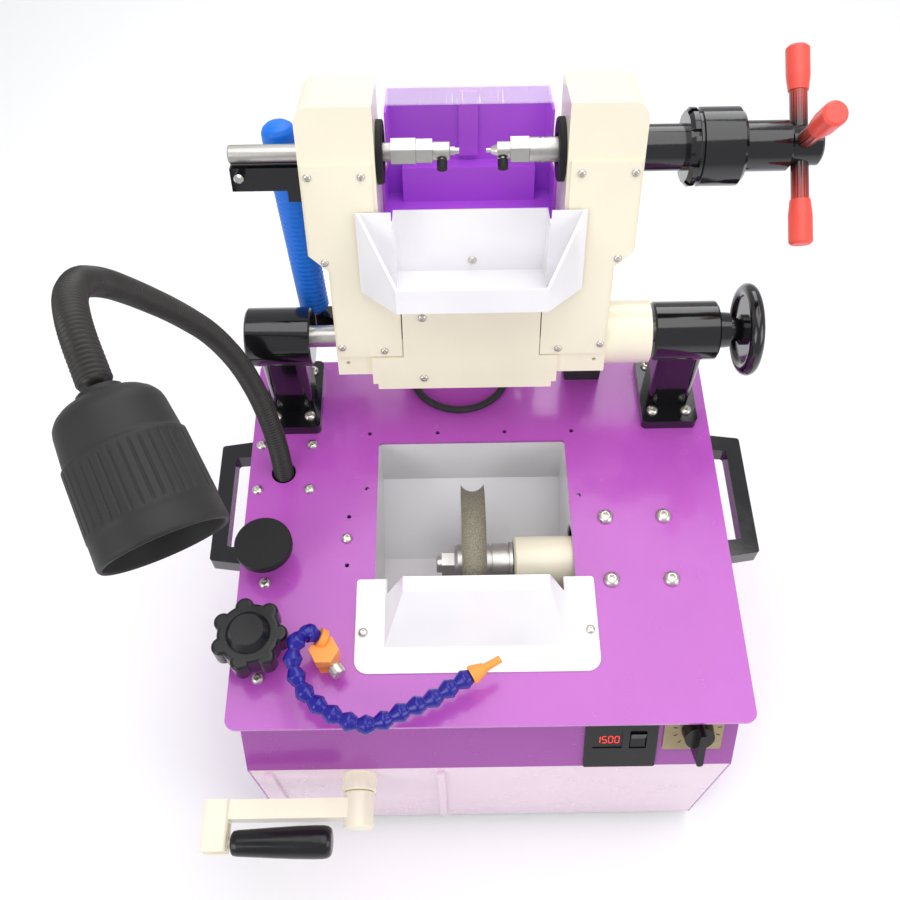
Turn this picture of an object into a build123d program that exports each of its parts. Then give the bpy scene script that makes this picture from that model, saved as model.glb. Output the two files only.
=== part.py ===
"""Swing-head bead grinding machine: a cased table with a grooved wheel, and a twin-spindle head above it.

Millimetres, +Z up. The origin is on the floor, under the middle of the case. -Y is the front.
"""

import os
from math import acos, cos, hypot, pi, radians, sin, tan

from build123d import *

os.makedirs("parts", exist_ok=True)

# ---------------------------------------------------------------- driving sizes
# Case and table
CASE_W = 436.0
CASE_D = 390.0
CASE_H = 276.0
FOOT_H = 14.0
FOOT_R = 16.0
SHEET = 2.0
DECK_W = 450.0
DECK_D = 380.0
DECK_T = 4.0
DECK_CORNER = 9.0
DECK_SETBACK = 14.0
PANEL_DROP = 77.0
PANEL_RUN = 39.0

# Wheel well in the table
WELL_LEFT = -101.0
WELL_RIGHT = 81.5
WELL_FRONT = -119.0
WELL_REAR = 100.5
WELL_REAR_DROP = 73.0
WELL_DEPTH = 119.0
WELL_SHEET = 1.5
WELL_FLANGE = 10.0
HOOD_H = 45.0
HOOD_SHEET = 1.5

# Grinding wheel, its spindle and the carriage that feeds it
WHEEL_R = 75.0
WHEEL_W = 21.5
WHEEL_X = -10.6
WHEEL_Y = -17.5
WHEEL_DROP = 30.0
GROOVE_DEPTH = 6.5
ARBOR_R = 8.0
NOSE_R = 25.0
FEED_TRAVEL = 10.0
ROD_R = 6.0
SCREW_R = 8.0
CRANK_X = -118.0
CRANK_Z = 194.0
CRANK_ARM = 127.0

# Swing head, measured from its pivot
PIVOT_Y = 152.0
PIVOT_RISE = 105.0
PIVOT_R = 10.0
LEAN = 18.0
HEAD_X = -10.5
HEAD_TOP = 228.0
HEAD_FRONT = 30.0
HEAD_BACK = 35.0
HEAD_HALF_W = 136.0
HEAD_LOW_HALF_W = 120.5
HEAD_GAP_HALF = 75.5
HEAD_GAP_LOW = 57.0
HEAD_LOW = -22.0
HEAD_WALL = 5.0
SPINDLE_U = 178.0
SPINDLE_R = 7.5
BEARING_R = 15.0
COVER_T = 2.0
CROSS_U = 38.0
CROSS_R = 6.0

# Pedestals
PEDESTAL_X = 185.0
PEDESTAL_BARREL_R = 27.0
PEDESTAL_BARREL_L = 59.0
PEDESTAL_FOOT_W = 54.0
PEDESTAL_FOOT_D = 80.0
PEDESTAL_FOOT_T = 12.0

# Fits
RUN = 0.05
CLEAR = 0.4

# ---------------------------------------------------------------- worked-out places
DECK_TOP = FOOT_H + CASE_H + DECK_T
DECK_LOW = DECK_TOP - DECK_T
CASE_LOW = FOOT_H
CASE_FRONT = -CASE_D / 2
CASE_REAR = CASE_D / 2
INNER_X = CASE_W / 2 - SHEET
DECK_Y = CASE_FRONT + DECK_SETBACK + DECK_D / 2
FOLD_Z = DECK_LOW - PANEL_DROP
PANEL_TOP_Y = CASE_FRONT + PANEL_RUN
PANEL_L = hypot(PANEL_DROP, PANEL_RUN)
PIVOT_Z = DECK_TOP + PIVOT_RISE
WHEEL_Z = DECK_TOP - WHEEL_DROP
WELL_LOW = DECK_TOP - WELL_DEPTH
WELL_MID_X = (WELL_LEFT + WELL_RIGHT) / 2
WELL_MID_Y = (WELL_FRONT + WELL_REAR) / 2
WELL_W = WELL_RIGHT - WELL_LEFT
WELL_L = WELL_REAR - WELL_FRONT

HEAD = Plane(
    origin=(HEAD_X, PIVOT_Y, PIVOT_Z),
    x_dir=(1, 0, 0),
    z_dir=(0, -cos(radians(LEAN)), sin(radians(LEAN))),
)
PANEL = Plane(
    origin=(0, PANEL_TOP_Y, DECK_LOW),
    x_dir=(1, 0, 0),
    z_dir=(0, -PANEL_DROP / PANEL_L, PANEL_RUN / PANEL_L),
)


def across(x, u=0.0, v=0.0):
    """Plane square to X, at x from the head's middle, u up the head and v out of its front."""
    return Plane(origin=HEAD.from_local_coords(Vector(x, u, v)), x_dir=HEAD.y_dir, z_dir=HEAD.x_dir)


def side(x, y=0.0, z=0.0):
    """Plane square to X in the case's frame; its local x runs along Y and its local y along Z."""
    return Plane(origin=(x, y, z), x_dir=(0, 1, 0), z_dir=(1, 0, 0))


def outward(y, x=0.0, z=0.0):
    """Plane square to Y that looks out of the front; its local x runs along X and its local y along Z."""
    return Plane(origin=(x, y, z), x_dir=(1, 0, 0), z_dir=(0, -1, 0))


def level(z, x=0.0, y=0.0):
    """Level plane at height z."""
    return Plane(origin=(x, y, z), x_dir=(1, 0, 0), z_dir=(0, 0, 1))


def save(piece, name):
    """Label a finished piece and write it as its own STEP file."""
    piece.part.label = name
    export_step(piece.part, f"parts/{name}.step")


def save_group(name, *pieces):
    """Write pieces that share one node as separate solids in one STEP file."""
    group = Compound([solid for piece in pieces for solid in piece.part.solids()])
    group.label = name
    export_step(group, f"parts/{name}.step")


def turned(plane, outline, bore=0.0):
    """A turned piece on a plane's normal. Outline points are (length, radius), and the bore goes through."""
    lathe = Plane(origin=plane.origin, x_dir=plane.z_dir, z_dir=plane.y_dir)
    first = outline[0][0]
    last = outline[-1][0]
    with BuildPart() as piece:
        with BuildSketch(lathe):
            with BuildLine():
                Polyline([(first, bore), *outline, (last, bore)], close=True)
            make_face()
        revolve(axis=Axis(plane.origin, plane.z_dir))
    return piece


def slab(plane, points, thickness):
    """A flat plate: a closed outline on a plane, thickened along its normal."""
    with BuildPart() as piece:
        with BuildSketch(plane):
            with BuildLine():
                Polyline(points, close=True)
            make_face()
        extrude(amount=thickness)
    return piece


def button_screws(plane, spots, head_r, head_h, shank_r, shank_l):
    """Button-head screws standing on a plane at spots: domed head, hexagon socket and plain shank."""
    with BuildPart() as one:
        with BuildSketch(Plane.XZ):
            with BuildLine():
                Line((0, -shank_l), (shank_r, -shank_l))
                Line((shank_r, -shank_l), (shank_r, 0))
                Line((shank_r, 0), (head_r, 0))
                Line((head_r, 0), (head_r, head_h * 0.3))
                ThreePointArc(
                    (head_r, head_h * 0.3), (head_r * 0.8, head_h * 0.78), (head_r * 0.5, head_h)
                )
                Line((head_r * 0.5, head_h), (0, head_h))
                Line((0, head_h), (0, -shank_l))
            make_face()
        revolve(axis=Axis.Z)
        with BuildSketch(Plane.XY.offset(head_h)):
            RegularPolygon(head_r * 0.42, 6)
        extrude(amount=-head_h * 0.6, mode=Mode.SUBTRACT)
    with BuildPart(plane) as group:
        with Locations(*spots):
            add(one.part)
    return group


def drilled(piece, plane, spots, radius, depth):
    """The piece with plain holes drilled down from a plane at spots."""
    with BuildPart() as result:
        add(piece.part)
        with BuildSketch(plane):
            with Locations(*spots):
                Circle(radius)
        extrude(amount=-depth, mode=Mode.SUBTRACT)
    return result


def belt(plane, gap, radius_a, radius_b, thickness, width):
    """A flat belt loop round two pulleys, gap apart along the plane's local x, with straight runs."""
    lean = acos((radius_a - radius_b) / gap)

    def loop(grow):
        a = radius_a + grow
        b = radius_b + grow
        with BuildSketch(plane) as face:
            with BuildLine():
                top_a = (a * cos(lean), a * sin(lean))
                top_b = (gap + b * cos(lean), b * sin(lean))
                low_a = (top_a[0], -top_a[1])
                low_b = (top_b[0], -top_b[1])
                Line(top_a, top_b)
                ThreePointArc(top_b, (gap + b, 0), low_b)
                Line(low_b, low_a)
                ThreePointArc(low_a, (-a, 0), top_a)
            make_face()
        return face

    outer = loop(thickness)
    inner = loop(0)
    with BuildPart() as piece:
        add(outer.sketch)
        extrude(amount=width, dir=plane.z_dir)
        add(inner.sketch)
        extrude(amount=width, dir=plane.z_dir, mode=Mode.SUBTRACT)
    return piece


# ---------------------------------------------------------------- case
CASE_PROFILE = [
    (CASE_FRONT, CASE_LOW),
    (CASE_FRONT, FOLD_Z),
    (PANEL_TOP_Y, DECK_LOW),
    (CASE_REAR, DECK_LOW),
    (CASE_REAR, CASE_LOW),
]

with BuildPart() as case_shell:
    with BuildSketch(side(-CASE_W / 2)):
        with BuildLine():
            Polyline(CASE_PROFILE, close=True)
        make_face()
    extrude(amount=CASE_W)
    with BuildSketch(side(-INNER_X)):
        with BuildLine():
            Polyline(
                (CASE_FRONT - 1, CASE_LOW - 1),
                (CASE_FRONT - 1, DECK_LOW + 1),
                (CASE_REAR - SHEET, DECK_LOW + 1),
                (CASE_REAR - SHEET, CASE_LOW - 1),
                close=True,
            )
        make_face()
    extrude(amount=2 * INNER_X, mode=Mode.SUBTRACT)
    # Cooling louvres in the rear wall and the mains inlet's opening.
    with BuildSketch(outward(CASE_REAR + 1)):
        with GridLocations(0, 12, 1, 6):
            with Locations((70, 150)):
                SlotOverall(90, 4)
        with Locations((150, 80)):
            Rectangle(28 + CLEAR, 21 + CLEAR)
    extrude(amount=SHEET + 2, mode=Mode.SUBTRACT)
save(case_shell, "case_shell")

# The front is one bent sheet: an upright lower front with two stiffening strips, and a leaning panel.
ROTARY_X = 182.0
ROTARY_S = -40.0
SWITCH_X = 116.0
SWITCH_S = -53.0
SWITCH_SIZE = 64.0
STRIP_SPOTS = (-201.0, -43.5)
PANEL_BACK = SHEET / cos(radians(90) - acos(PANEL_RUN / PANEL_L))
with BuildPart() as front_panel:
    with BuildSketch(side(-INNER_X)):
        with BuildLine():
            Polyline(
                (CASE_FRONT, CASE_LOW),
                (CASE_FRONT, FOLD_Z),
                (PANEL_TOP_Y, DECK_LOW),
                (PANEL_TOP_Y + PANEL_BACK, DECK_LOW),
                (CASE_FRONT + SHEET, FOLD_Z - 0.4),
                (CASE_FRONT + SHEET, CASE_LOW),
                close=True,
            )
        make_face()
    extrude(amount=2 * INNER_X)
    with BuildSketch(outward(CASE_FRONT)):
        for strip_x in STRIP_SPOTS:
            with Locations((strip_x, (CASE_LOW + FOLD_Z) / 2 - 2)):
                Rectangle(7, FOLD_Z - CASE_LOW - 22)
    extrude(amount=3)
    with BuildSketch(outward(CASE_FRONT - 1)):
        with Locations((CRANK_X, CRANK_Z)):
            Circle(12)
    extrude(amount=-SHEET - 2, mode=Mode.SUBTRACT)
    with BuildSketch(PANEL.offset(1)):
        with Locations((SWITCH_X, SWITCH_S)):
            Rectangle(SWITCH_SIZE - 16, SWITCH_SIZE - 16)
        with Locations((ROTARY_X, ROTARY_S)):
            Circle(8.0)
    extrude(amount=-SHEET - 3, mode=Mode.SUBTRACT)
save(front_panel, "front_panel")

base_plate = slab(
    level(CASE_LOW),
    [
        (-INNER_X, CASE_FRONT + SHEET),
        (INNER_X, CASE_FRONT + SHEET),
        (INNER_X, CASE_REAR - SHEET),
        (-INNER_X, CASE_REAR - SHEET),
    ],
    SHEET,
)
FOOT_SPOTS = [(sx * (CASE_W / 2 - 32), sy * (CASE_D / 2 - 32)) for sx in (-1, 1) for sy in (-1, 1)]
base_plate = drilled(base_plate, level(CASE_LOW + SHEET), FOOT_SPOTS, 3.2, SHEET)

with BuildPart() as rubber_feet:
    with BuildSketch(Plane.XY.offset(FOOT_H)):
        with Locations(*FOOT_SPOTS):
            Circle(FOOT_R - 2)
    extrude(amount=-FOOT_H)
    with BuildSketch():
        with Locations(*FOOT_SPOTS):
            Circle(8.0)
    extrude(amount=6, mode=Mode.SUBTRACT)
    with BuildSketch(Plane.XY.offset(6)):
        with Locations(*FOOT_SPOTS):
            Circle(3.2)
    extrude(amount=FOOT_H, mode=Mode.SUBTRACT)
foot_screws = button_screws(Plane.XY.offset(6).rotated((180, 0, 0)), FOOT_SPOTS, 6.5, 3.5, 3.0, 12.0)

# ---------------------------------------------------------------- table
GOOSE_X = -192.0
GOOSE_Y = 68.0
NECK_R = 9.7
DEPTH_KNOB = (-203.0, -111.0)
DEPTH_STOP = (-199.0, -24.0)
VALVE = (-140.0, -123.0)
PAD_X = 141.0
BIG_BOLTS = [(PAD_X + sx * 27.3, WHEEL_Y + sy * 32.0) for sx in (-1, 1) for sy in (-1, 1)]
SMALL_BOLTS = [(GOOSE_X + 1 + sx * 25, GOOSE_Y + 6 + sy * 25) for sx in (-1, 1) for sy in (-1, 1)]
LONE_BOLTS = [
    (DEPTH_KNOB[0] + 3, DEPTH_KNOB[1] - 26), (DEPTH_STOP[0] - 2, DEPTH_STOP[1] - 24), (-128.0, -4.0)
]
TAPPED = [(-110, 111), (-43, 111), (23, 111), (89, 111), (-111, 49), (91, 39)]
SMALL_HOLES = [(-127.0, 19.0), (-127.0, -31.0)]
COVER_SPOTS = [(WELL_LEFT - 9, -97.0), (WELL_RIGHT + 9, -97.0)]
PEDESTAL_BOLTS = [
    (sx * PEDESTAL_X + bx, PIVOT_Y + by) for sx in (-1, 1) for bx in (-16.5, 16.5) for by in (-27.0, 27.0)
]
with BuildPart() as deck_plate:
    with BuildSketch(level(DECK_LOW)):
        with Locations((0, DECK_Y)):
            RectangleRounded(DECK_W, DECK_D, DECK_CORNER)
        with Locations((WELL_MID_X, WELL_MID_Y)):
            RectangleRounded(WELL_W, WELL_L, 3, mode=Mode.SUBTRACT)
        with Locations((GOOSE_X, GOOSE_Y)):
            Circle(NECK_R + 2, mode=Mode.SUBTRACT)
        with Locations(DEPTH_KNOB, DEPTH_STOP):
            Circle(6 + RUN, mode=Mode.SUBTRACT)
        with Locations(VALVE):
            Circle(5 + RUN, mode=Mode.SUBTRACT)
        with Locations(*BIG_BOLTS):
            Circle(4 + CLEAR / 2, mode=Mode.SUBTRACT)
        with Locations(*SMALL_BOLTS, *LONE_BOLTS, *PEDESTAL_BOLTS):
            Circle(3 + CLEAR / 2, mode=Mode.SUBTRACT)
        with Locations(*TAPPED, *SMALL_HOLES, *COVER_SPOTS):
            Circle(2, mode=Mode.SUBTRACT)
    extrude(amount=DECK_T)
save(deck_plate, "deck_plate")

pad_bolts = button_screws(level(DECK_TOP), BIG_BOLTS, 7.5, 5.0, 4.0, DECK_T + 8)
deck_bolts = button_screws(level(DECK_TOP), LONE_BOLTS, 5.2, 3.6, 3.0, DECK_T + 4)
rim_bolts = button_screws(level(DECK_TOP), SMALL_BOLTS, 5.2, 3.6, 3.0, DECK_T)

# The well is a folded tub hung from the table: upright rear wall, then a floor that slopes to a drain.
NOSE_SLOT = NOSE_R + 1.5
DRAIN = (-10.0, -95.0)
DRAIN_R = 10.0
DRAIN_L = 23.0


def tub(grow, top):
    """The tub's side profile, grown outwards by a sheet's thickness."""
    return [
        (WELL_FRONT - grow, top),
        (WELL_FRONT - grow, WELL_LOW - grow),
        (30 + grow / 2, WELL_LOW - grow),
        (WELL_REAR + grow, DECK_TOP - WELL_REAR_DROP - grow / 2),
        (WELL_REAR + grow, top),
    ]


with BuildPart() as well_liner:
    with BuildSketch(side(WELL_LEFT - WELL_SHEET)):
        with BuildLine():
            Polyline(tub(WELL_SHEET, DECK_LOW), close=True)
        make_face()
    extrude(amount=WELL_W + 2 * WELL_SHEET)
    with BuildSketch(level(DECK_LOW)):
        with Locations((WELL_MID_X, WELL_MID_Y)):
            RectangleRounded(WELL_W + 2 * WELL_FLANGE, WELL_L + 2 * WELL_FLANGE, 4)
    extrude(amount=-WELL_SHEET)
    with BuildSketch(side(WELL_LEFT)):
        with BuildLine():
            Polyline(tub(0, DECK_LOW + 1), close=True)
        make_face()
    extrude(amount=WELL_W, mode=Mode.SUBTRACT)
    with BuildSketch(side(WELL_RIGHT - 1, WHEEL_Y, WHEEL_Z)):
        SlotOverall(2 * NOSE_SLOT + 2 * FEED_TRAVEL, 2 * NOSE_SLOT)
    extrude(amount=WELL_FLANGE + 3, mode=Mode.SUBTRACT)
    # A drain spout is welded into the floor.
    with BuildSketch(level(WELL_LOW)):
        with Locations(DRAIN):
            Circle(DRAIN_R)
    extrude(amount=-DRAIN_L)
    with BuildSketch(level(WELL_LOW + 1)):
        with Locations(DRAIN):
            Circle(DRAIN_R - 2)
    extrude(amount=-DRAIN_L - 2, mode=Mode.SUBTRACT)
save(well_liner, "well_liner")

# White hood plate over the front of the well, with a wedge-shaped hump that clears the wheel.
HOOD_LEFT = WELL_LEFT - 16.0
HOOD_RIGHT = WELL_RIGHT + 16.0
HOOD_FRONT = -134.5
HOOD_REAR = -46.0
HUMP_IN = 10.0


def hump(shrink, grow_down):
    """The wedge hump, smaller all round by shrink: a ridge near its rear edge over a wide foot."""
    foot_z = DECK_TOP + HOOD_SHEET - grow_down
    ridge_z = DECK_TOP + HOOD_H - shrink
    with BuildPart() as wedge:
        with BuildSketch(level(foot_z)):
            with Locations((WELL_MID_X, (WELL_FRONT + 8 + HOOD_REAR) / 2)):
                Rectangle(WELL_W - 2 * HUMP_IN - 2 * shrink, HOOD_REAR - WELL_FRONT - 8 - 2 * shrink)
        with BuildSketch(level(ridge_z)):
            with Locations((WELL_MID_X, HOOD_REAR - 24)):
                Rectangle(WELL_W - 2 * HUMP_IN - 36 - 2 * shrink, 14)
        loft()
    return wedge


outer_hump = hump(0, 0)
inner_hump = hump(HOOD_SHEET, HOOD_SHEET + 2)
with BuildPart() as wheel_hood:
    with BuildSketch(level(DECK_TOP)):
        with Locations(((HOOD_LEFT + HOOD_RIGHT) / 2, (HOOD_FRONT + HOOD_REAR) / 2)):
            Rectangle(HOOD_RIGHT - HOOD_LEFT, HOOD_REAR - HOOD_FRONT)
    extrude(amount=HOOD_SHEET)
    fillet(wheel_hood.edges().filter_by(Axis.Z).group_by(Axis.Y)[0], radius=12)
    fillet(wheel_hood.edges().filter_by(Axis.Z).group_by(Axis.Y)[-1], radius=3)
    add(outer_hump.part)
    add(inner_hump.part, mode=Mode.SUBTRACT)
    # The hump is open at the rear, where the work meets the wheel.
    with BuildSketch(level(DECK_TOP - 1)):
        with Locations((WELL_MID_X, HOOD_REAR)):
            Rectangle(WELL_W - 2 * HUMP_IN - 2 * HOOD_SHEET - 1, 33)
    extrude(amount=HOOD_H + 10, mode=Mode.SUBTRACT)
wheel_hood = drilled(wheel_hood, level(DECK_TOP + HOOD_SHEET), COVER_SPOTS, 2.2, HOOD_SHEET)
save(wheel_hood, "wheel_hood")
hood_screws = button_screws(level(DECK_TOP + HOOD_SHEET), COVER_SPOTS, 4.2, 2.6, 1.9, HOOD_SHEET + DECK_T)

# ---------------------------------------------------------------- grinding wheel and feed carriage
with BuildPart() as grinding_wheel:
    with BuildSketch(Plane(origin=(WHEEL_X, WHEEL_Y, WHEEL_Z), x_dir=(1, 0, 0), z_dir=(0, -1, 0))):
        with BuildLine():
            half = WHEEL_W / 2
            dip = WHEEL_R - GROOVE_DEPTH
            Line((-half, ARBOR_R), (half, ARBOR_R))
            Line((half, ARBOR_R), (half, WHEEL_R))
            ThreePointArc((half, WHEEL_R), (0, dip), (-half, WHEEL_R))
            Line((-half, WHEEL_R), (-half, ARBOR_R))
        make_face()
    revolve(axis=Axis((WHEEL_X, WHEEL_Y, WHEEL_Z), (1, 0, 0)))
save(grinding_wheel, "grinding_wheel")

wheel_axis = side(0, WHEEL_Y, WHEEL_Z)
WHEEL_LEFT = WHEEL_X - WHEEL_W / 2
WHEEL_RIGHT = WHEEL_X + WHEEL_W / 2
wheel_shaft = turned(
    wheel_axis, [(WHEEL_LEFT - 24, ARBOR_R - 1), (WHEEL_LEFT - 23, ARBOR_R), (202, ARBOR_R)]
)
flange_l = turned(wheel_axis, [(WHEEL_LEFT - 7, 17), (WHEEL_LEFT - 4, 19), (WHEEL_LEFT, 19)], ARBOR_R)
flange_r = turned(
    wheel_axis,
    [
        (WHEEL_RIGHT, 19),
        (WHEEL_RIGHT + 5, 19),
        (WHEEL_RIGHT + 5, 17),
        (WHEEL_RIGHT + 7, 17),
        (WHEEL_RIGHT + 7, 19),
        (WHEEL_RIGHT + 21, 19),
        (WHEEL_RIGHT + 21, 17),
        (WHEEL_RIGHT + 23, 17),
        (WHEEL_RIGHT + 23, 20),
        (WHEEL_RIGHT + 26, 20),
    ],
    ARBOR_R,
)
with BuildPart() as wheel_nut:
    with BuildSketch(side(WHEEL_LEFT - 7, WHEEL_Y, WHEEL_Z)):
        RegularPolygon(11, 6, major_radius=False)
        Circle(ARBOR_R, mode=Mode.SUBTRACT)
    extrude(amount=-12)
save_group("wheel_clamp", flange_l, flange_r, wheel_nut)

NOSE_START = WHEEL_RIGHT + 27
WHEEL_BEARING_R = 13.0
BLOCK_START = 100.0
BLOCK_END = 178.0
BEARING_W = 9.0
PULLEY_START = 182.0
PULLEY_W = 15.0
BLOCK_TOP = DECK_LOW - 12
BLOCK_LOW = WHEEL_Z - 40
CARRIAGE_Z = 140.0
CARRIAGE_T = 10.0
BLOCK_Y = (WHEEL_Y - 38, WHEEL_Y + 38)
nose = turned(
    wheel_axis,
    [(NOSE_START, NOSE_R - 2), (NOSE_START + 2, NOSE_R), (BLOCK_START, NOSE_R)],
    ARBOR_R + 1,
)
with BuildPart() as spindle_nose:
    add(nose.part)
    with BuildSketch(side(NOSE_START, WHEEL_Y, WHEEL_Z)):
        Circle(WHEEL_BEARING_R)
    extrude(amount=BEARING_W, mode=Mode.SUBTRACT)

with BuildPart() as spindle_block:
    with BuildSketch(side(BLOCK_START)):
        with Locations((WHEEL_Y, (BLOCK_LOW + BLOCK_TOP) / 2)):
            Rectangle(BLOCK_Y[1] - BLOCK_Y[0], BLOCK_TOP - BLOCK_LOW)
        with Locations((WHEEL_Y, WHEEL_Z)):
            Circle(ARBOR_R + 1, mode=Mode.SUBTRACT)
    extrude(amount=BLOCK_END - BLOCK_START)
    with BuildSketch(side(BLOCK_END - BEARING_W, WHEEL_Y, WHEEL_Z)):
        Circle(WHEEL_BEARING_R)
    extrude(amount=BEARING_W, mode=Mode.SUBTRACT)

with BuildPart() as wheel_bearings:
    for bearing_x in (NOSE_START, BLOCK_END - BEARING_W):
        with BuildSketch(side(bearing_x, WHEEL_Y, WHEEL_Z)):
            Circle(WHEEL_BEARING_R)
            Circle(ARBOR_R + RUN, mode=Mode.SUBTRACT)
        extrude(amount=BEARING_W)
save_group("spindle_housing", spindle_nose, spindle_block, wheel_bearings)

slide_pad = slab(
    level(BLOCK_TOP + 0.3),
    [
        (PAD_X - 36, BLOCK_Y[0] - 6),
        (PAD_X + 36, BLOCK_Y[0] - 6),
        (PAD_X + 36, BLOCK_Y[1] + 6),
        (PAD_X - 36, BLOCK_Y[1] + 6),
    ],
    DECK_LOW - BLOCK_TOP - 0.3,
)
slide_pad = drilled(slide_pad, level(DECK_LOW), BIG_BOLTS, 4.0 + CLEAR / 2, DECK_LOW - BLOCK_TOP)

DRIVE_PULLEY_R = 22.0
MOTOR_PULLEY_R = 16.0
MOTOR_R = 36.0
MOTOR_Z = CARRIAGE_Z - 20 - MOTOR_R
motor_axis = side(0, WHEEL_Y, MOTOR_Z)


def flanged_pulley(plane, radius, width, bore):
    """A flat-belt pulley with a low flange at each end, starting on a plane."""
    rim = radius + 2
    return turned(
        plane,
        [(0, rim), (1.5, rim), (1.5, radius), (width - 1.5, radius), (width - 1.5, rim), (width, rim)],
        bore,
    )


wheel_pulley = flanged_pulley(wheel_axis.offset(PULLEY_START), DRIVE_PULLEY_R, PULLEY_W, ARBOR_R)
save_group("wheel_arbor", wheel_shaft, wheel_pulley)
motor_pulley = flanged_pulley(motor_axis.offset(PULLEY_START), MOTOR_PULLEY_R, PULLEY_W, 6.0)
save_group("motor_rotor", motor_pulley, turned(motor_axis, [(120, 6.0), (200, 6.0)]))
down = Plane(origin=(PULLEY_START + 2.5, WHEEL_Y, WHEEL_Z), x_dir=(0, 0, -1), z_dir=(1, 0, 0))
save(
    belt(down, WHEEL_Z - MOTOR_Z, DRIVE_PULLEY_R + 0.3, MOTOR_PULLEY_R + 0.3, 2.0, PULLEY_W - 5),
    "wheel_belt",
)

with BuildPart() as carriage_plate:
    with BuildSketch(level(CARRIAGE_Z)):
        with BuildLine():
            Polyline(
                (CRANK_X - 18, -80), (BLOCK_END, -80), (BLOCK_END, 50), (CRANK_X - 18, 50), close=True
            )
        make_face()
    extrude(amount=CARRIAGE_T)
    with BuildSketch(level(CARRIAGE_Z + CARRIAGE_T)):
        with Locations(((BLOCK_START + BLOCK_END) / 2, WHEEL_Y)):
            Rectangle(BLOCK_END - BLOCK_START, BLOCK_Y[1] - BLOCK_Y[0])
    extrude(amount=BLOCK_LOW - CARRIAGE_Z - CARRIAGE_T)
    # The motor hangs from a drop plate under the right end.
    with BuildSketch(side(BLOCK_END - 8)):
        with Locations((WHEEL_Y, (CARRIAGE_Z + MOTOR_Z - MOTOR_R) / 2)):
            Rectangle(2 * MOTOR_R, CARRIAGE_Z - MOTOR_Z + MOTOR_R)
        with Locations((WHEEL_Y, MOTOR_Z)):
            Circle(10, mode=Mode.SUBTRACT)
    extrude(amount=8)
save(
    turned(
        motor_axis,
        [(40, MOTOR_R - 3), (43, MOTOR_R), (BLOCK_END - 11, MOTOR_R), (BLOCK_END - 8, MOTOR_R)],
        6.0 + RUN,
    ),
    "wheel_motor",
)

ROD_X = (-70.0, 125.0)
ROD_Z = CARRIAGE_Z - 9.5
ROD_BLOCK_Y = (-78.0, 32.0)
with BuildPart() as carriage_bearings:
    for block_y in ROD_BLOCK_Y:
        with BuildSketch(outward(block_y + 16)):
            for rod_x in ROD_X:
                with Locations((rod_x, ROD_Z)):
                    Rectangle(26, 19)
                with Locations((rod_x, ROD_Z)):
                    Circle(ROD_R + RUN, mode=Mode.SUBTRACT)
        extrude(amount=16)

ROD_END = 132.0
with BuildPart() as guide_rods:
    with BuildSketch(outward(ROD_END + 12)):
        for rod_x in ROD_X:
            with Locations((rod_x, ROD_Z)):
                Circle(ROD_R)
    extrude(amount=2 * ROD_END + 24)

with BuildPart() as rod_frames:
    for frame_y in (-ROD_END, ROD_END + 12):
        with BuildSketch(outward(frame_y)):
            with Locations(((ROD_X[0] + ROD_X[1]) / 2, (CASE_LOW + SHEET + ROD_Z + 14) / 2)):
                Rectangle(ROD_X[1] - ROD_X[0] + 60, ROD_Z + 14 - CASE_LOW - SHEET)
            with Locations(((ROD_X[0] + ROD_X[1]) / 2, (CASE_LOW + SHEET + ROD_Z) / 2 - 5)):
                Rectangle(ROD_X[1] - ROD_X[0] - 40, 60, mode=Mode.SUBTRACT)
            with Locations(*[(rod_x, ROD_Z) for rod_x in ROD_X]):
                Circle(ROD_R, mode=Mode.SUBTRACT)
        extrude(amount=12)
save_group("chassis", base_plate, rod_frames, guide_rods)

crank_axis = outward(0, CRANK_X, CRANK_Z)
FEED_NUT_Y = (-34.0, -2.0)
with BuildPart() as feed_nut:
    with BuildSketch(outward(FEED_NUT_Y[1])):
        with Locations((CRANK_X, (CARRIAGE_Z + CARRIAGE_T + CRANK_Z + 14) / 2)):
            Rectangle(28, CRANK_Z + 14 - CARRIAGE_Z - CARRIAGE_T)
        with Locations((CRANK_X, CRANK_Z)):
            Circle(SCREW_R + RUN, mode=Mode.SUBTRACT)
    extrude(amount=FEED_NUT_Y[1] - FEED_NUT_Y[0])
save_group("feed_carriage", carriage_plate, carriage_bearings, feed_nut)

BOSS_L = 16.0
crank_bush = turned(
    crank_axis.offset(-CASE_FRONT),
    [(-SHEET - 8, 18), (-SHEET, 18), (-SHEET, 12), (0, 12), (0, 15.5), (BOSS_L - 1, 15.5), (BOSS_L, 14.5)],
    SCREW_R + RUN,
)
save(crank_bush, "crank_bush")

HUB_START = -CASE_FRONT + BOSS_L + 0.5
HUB_L = 31.0
HUB_R = 13.5
save(
    turned(crank_axis, [(-20, SCREW_R - 1), (-19, SCREW_R), (HUB_START + HUB_L - 3, SCREW_R)]),
    "feed_screw",
)

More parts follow.
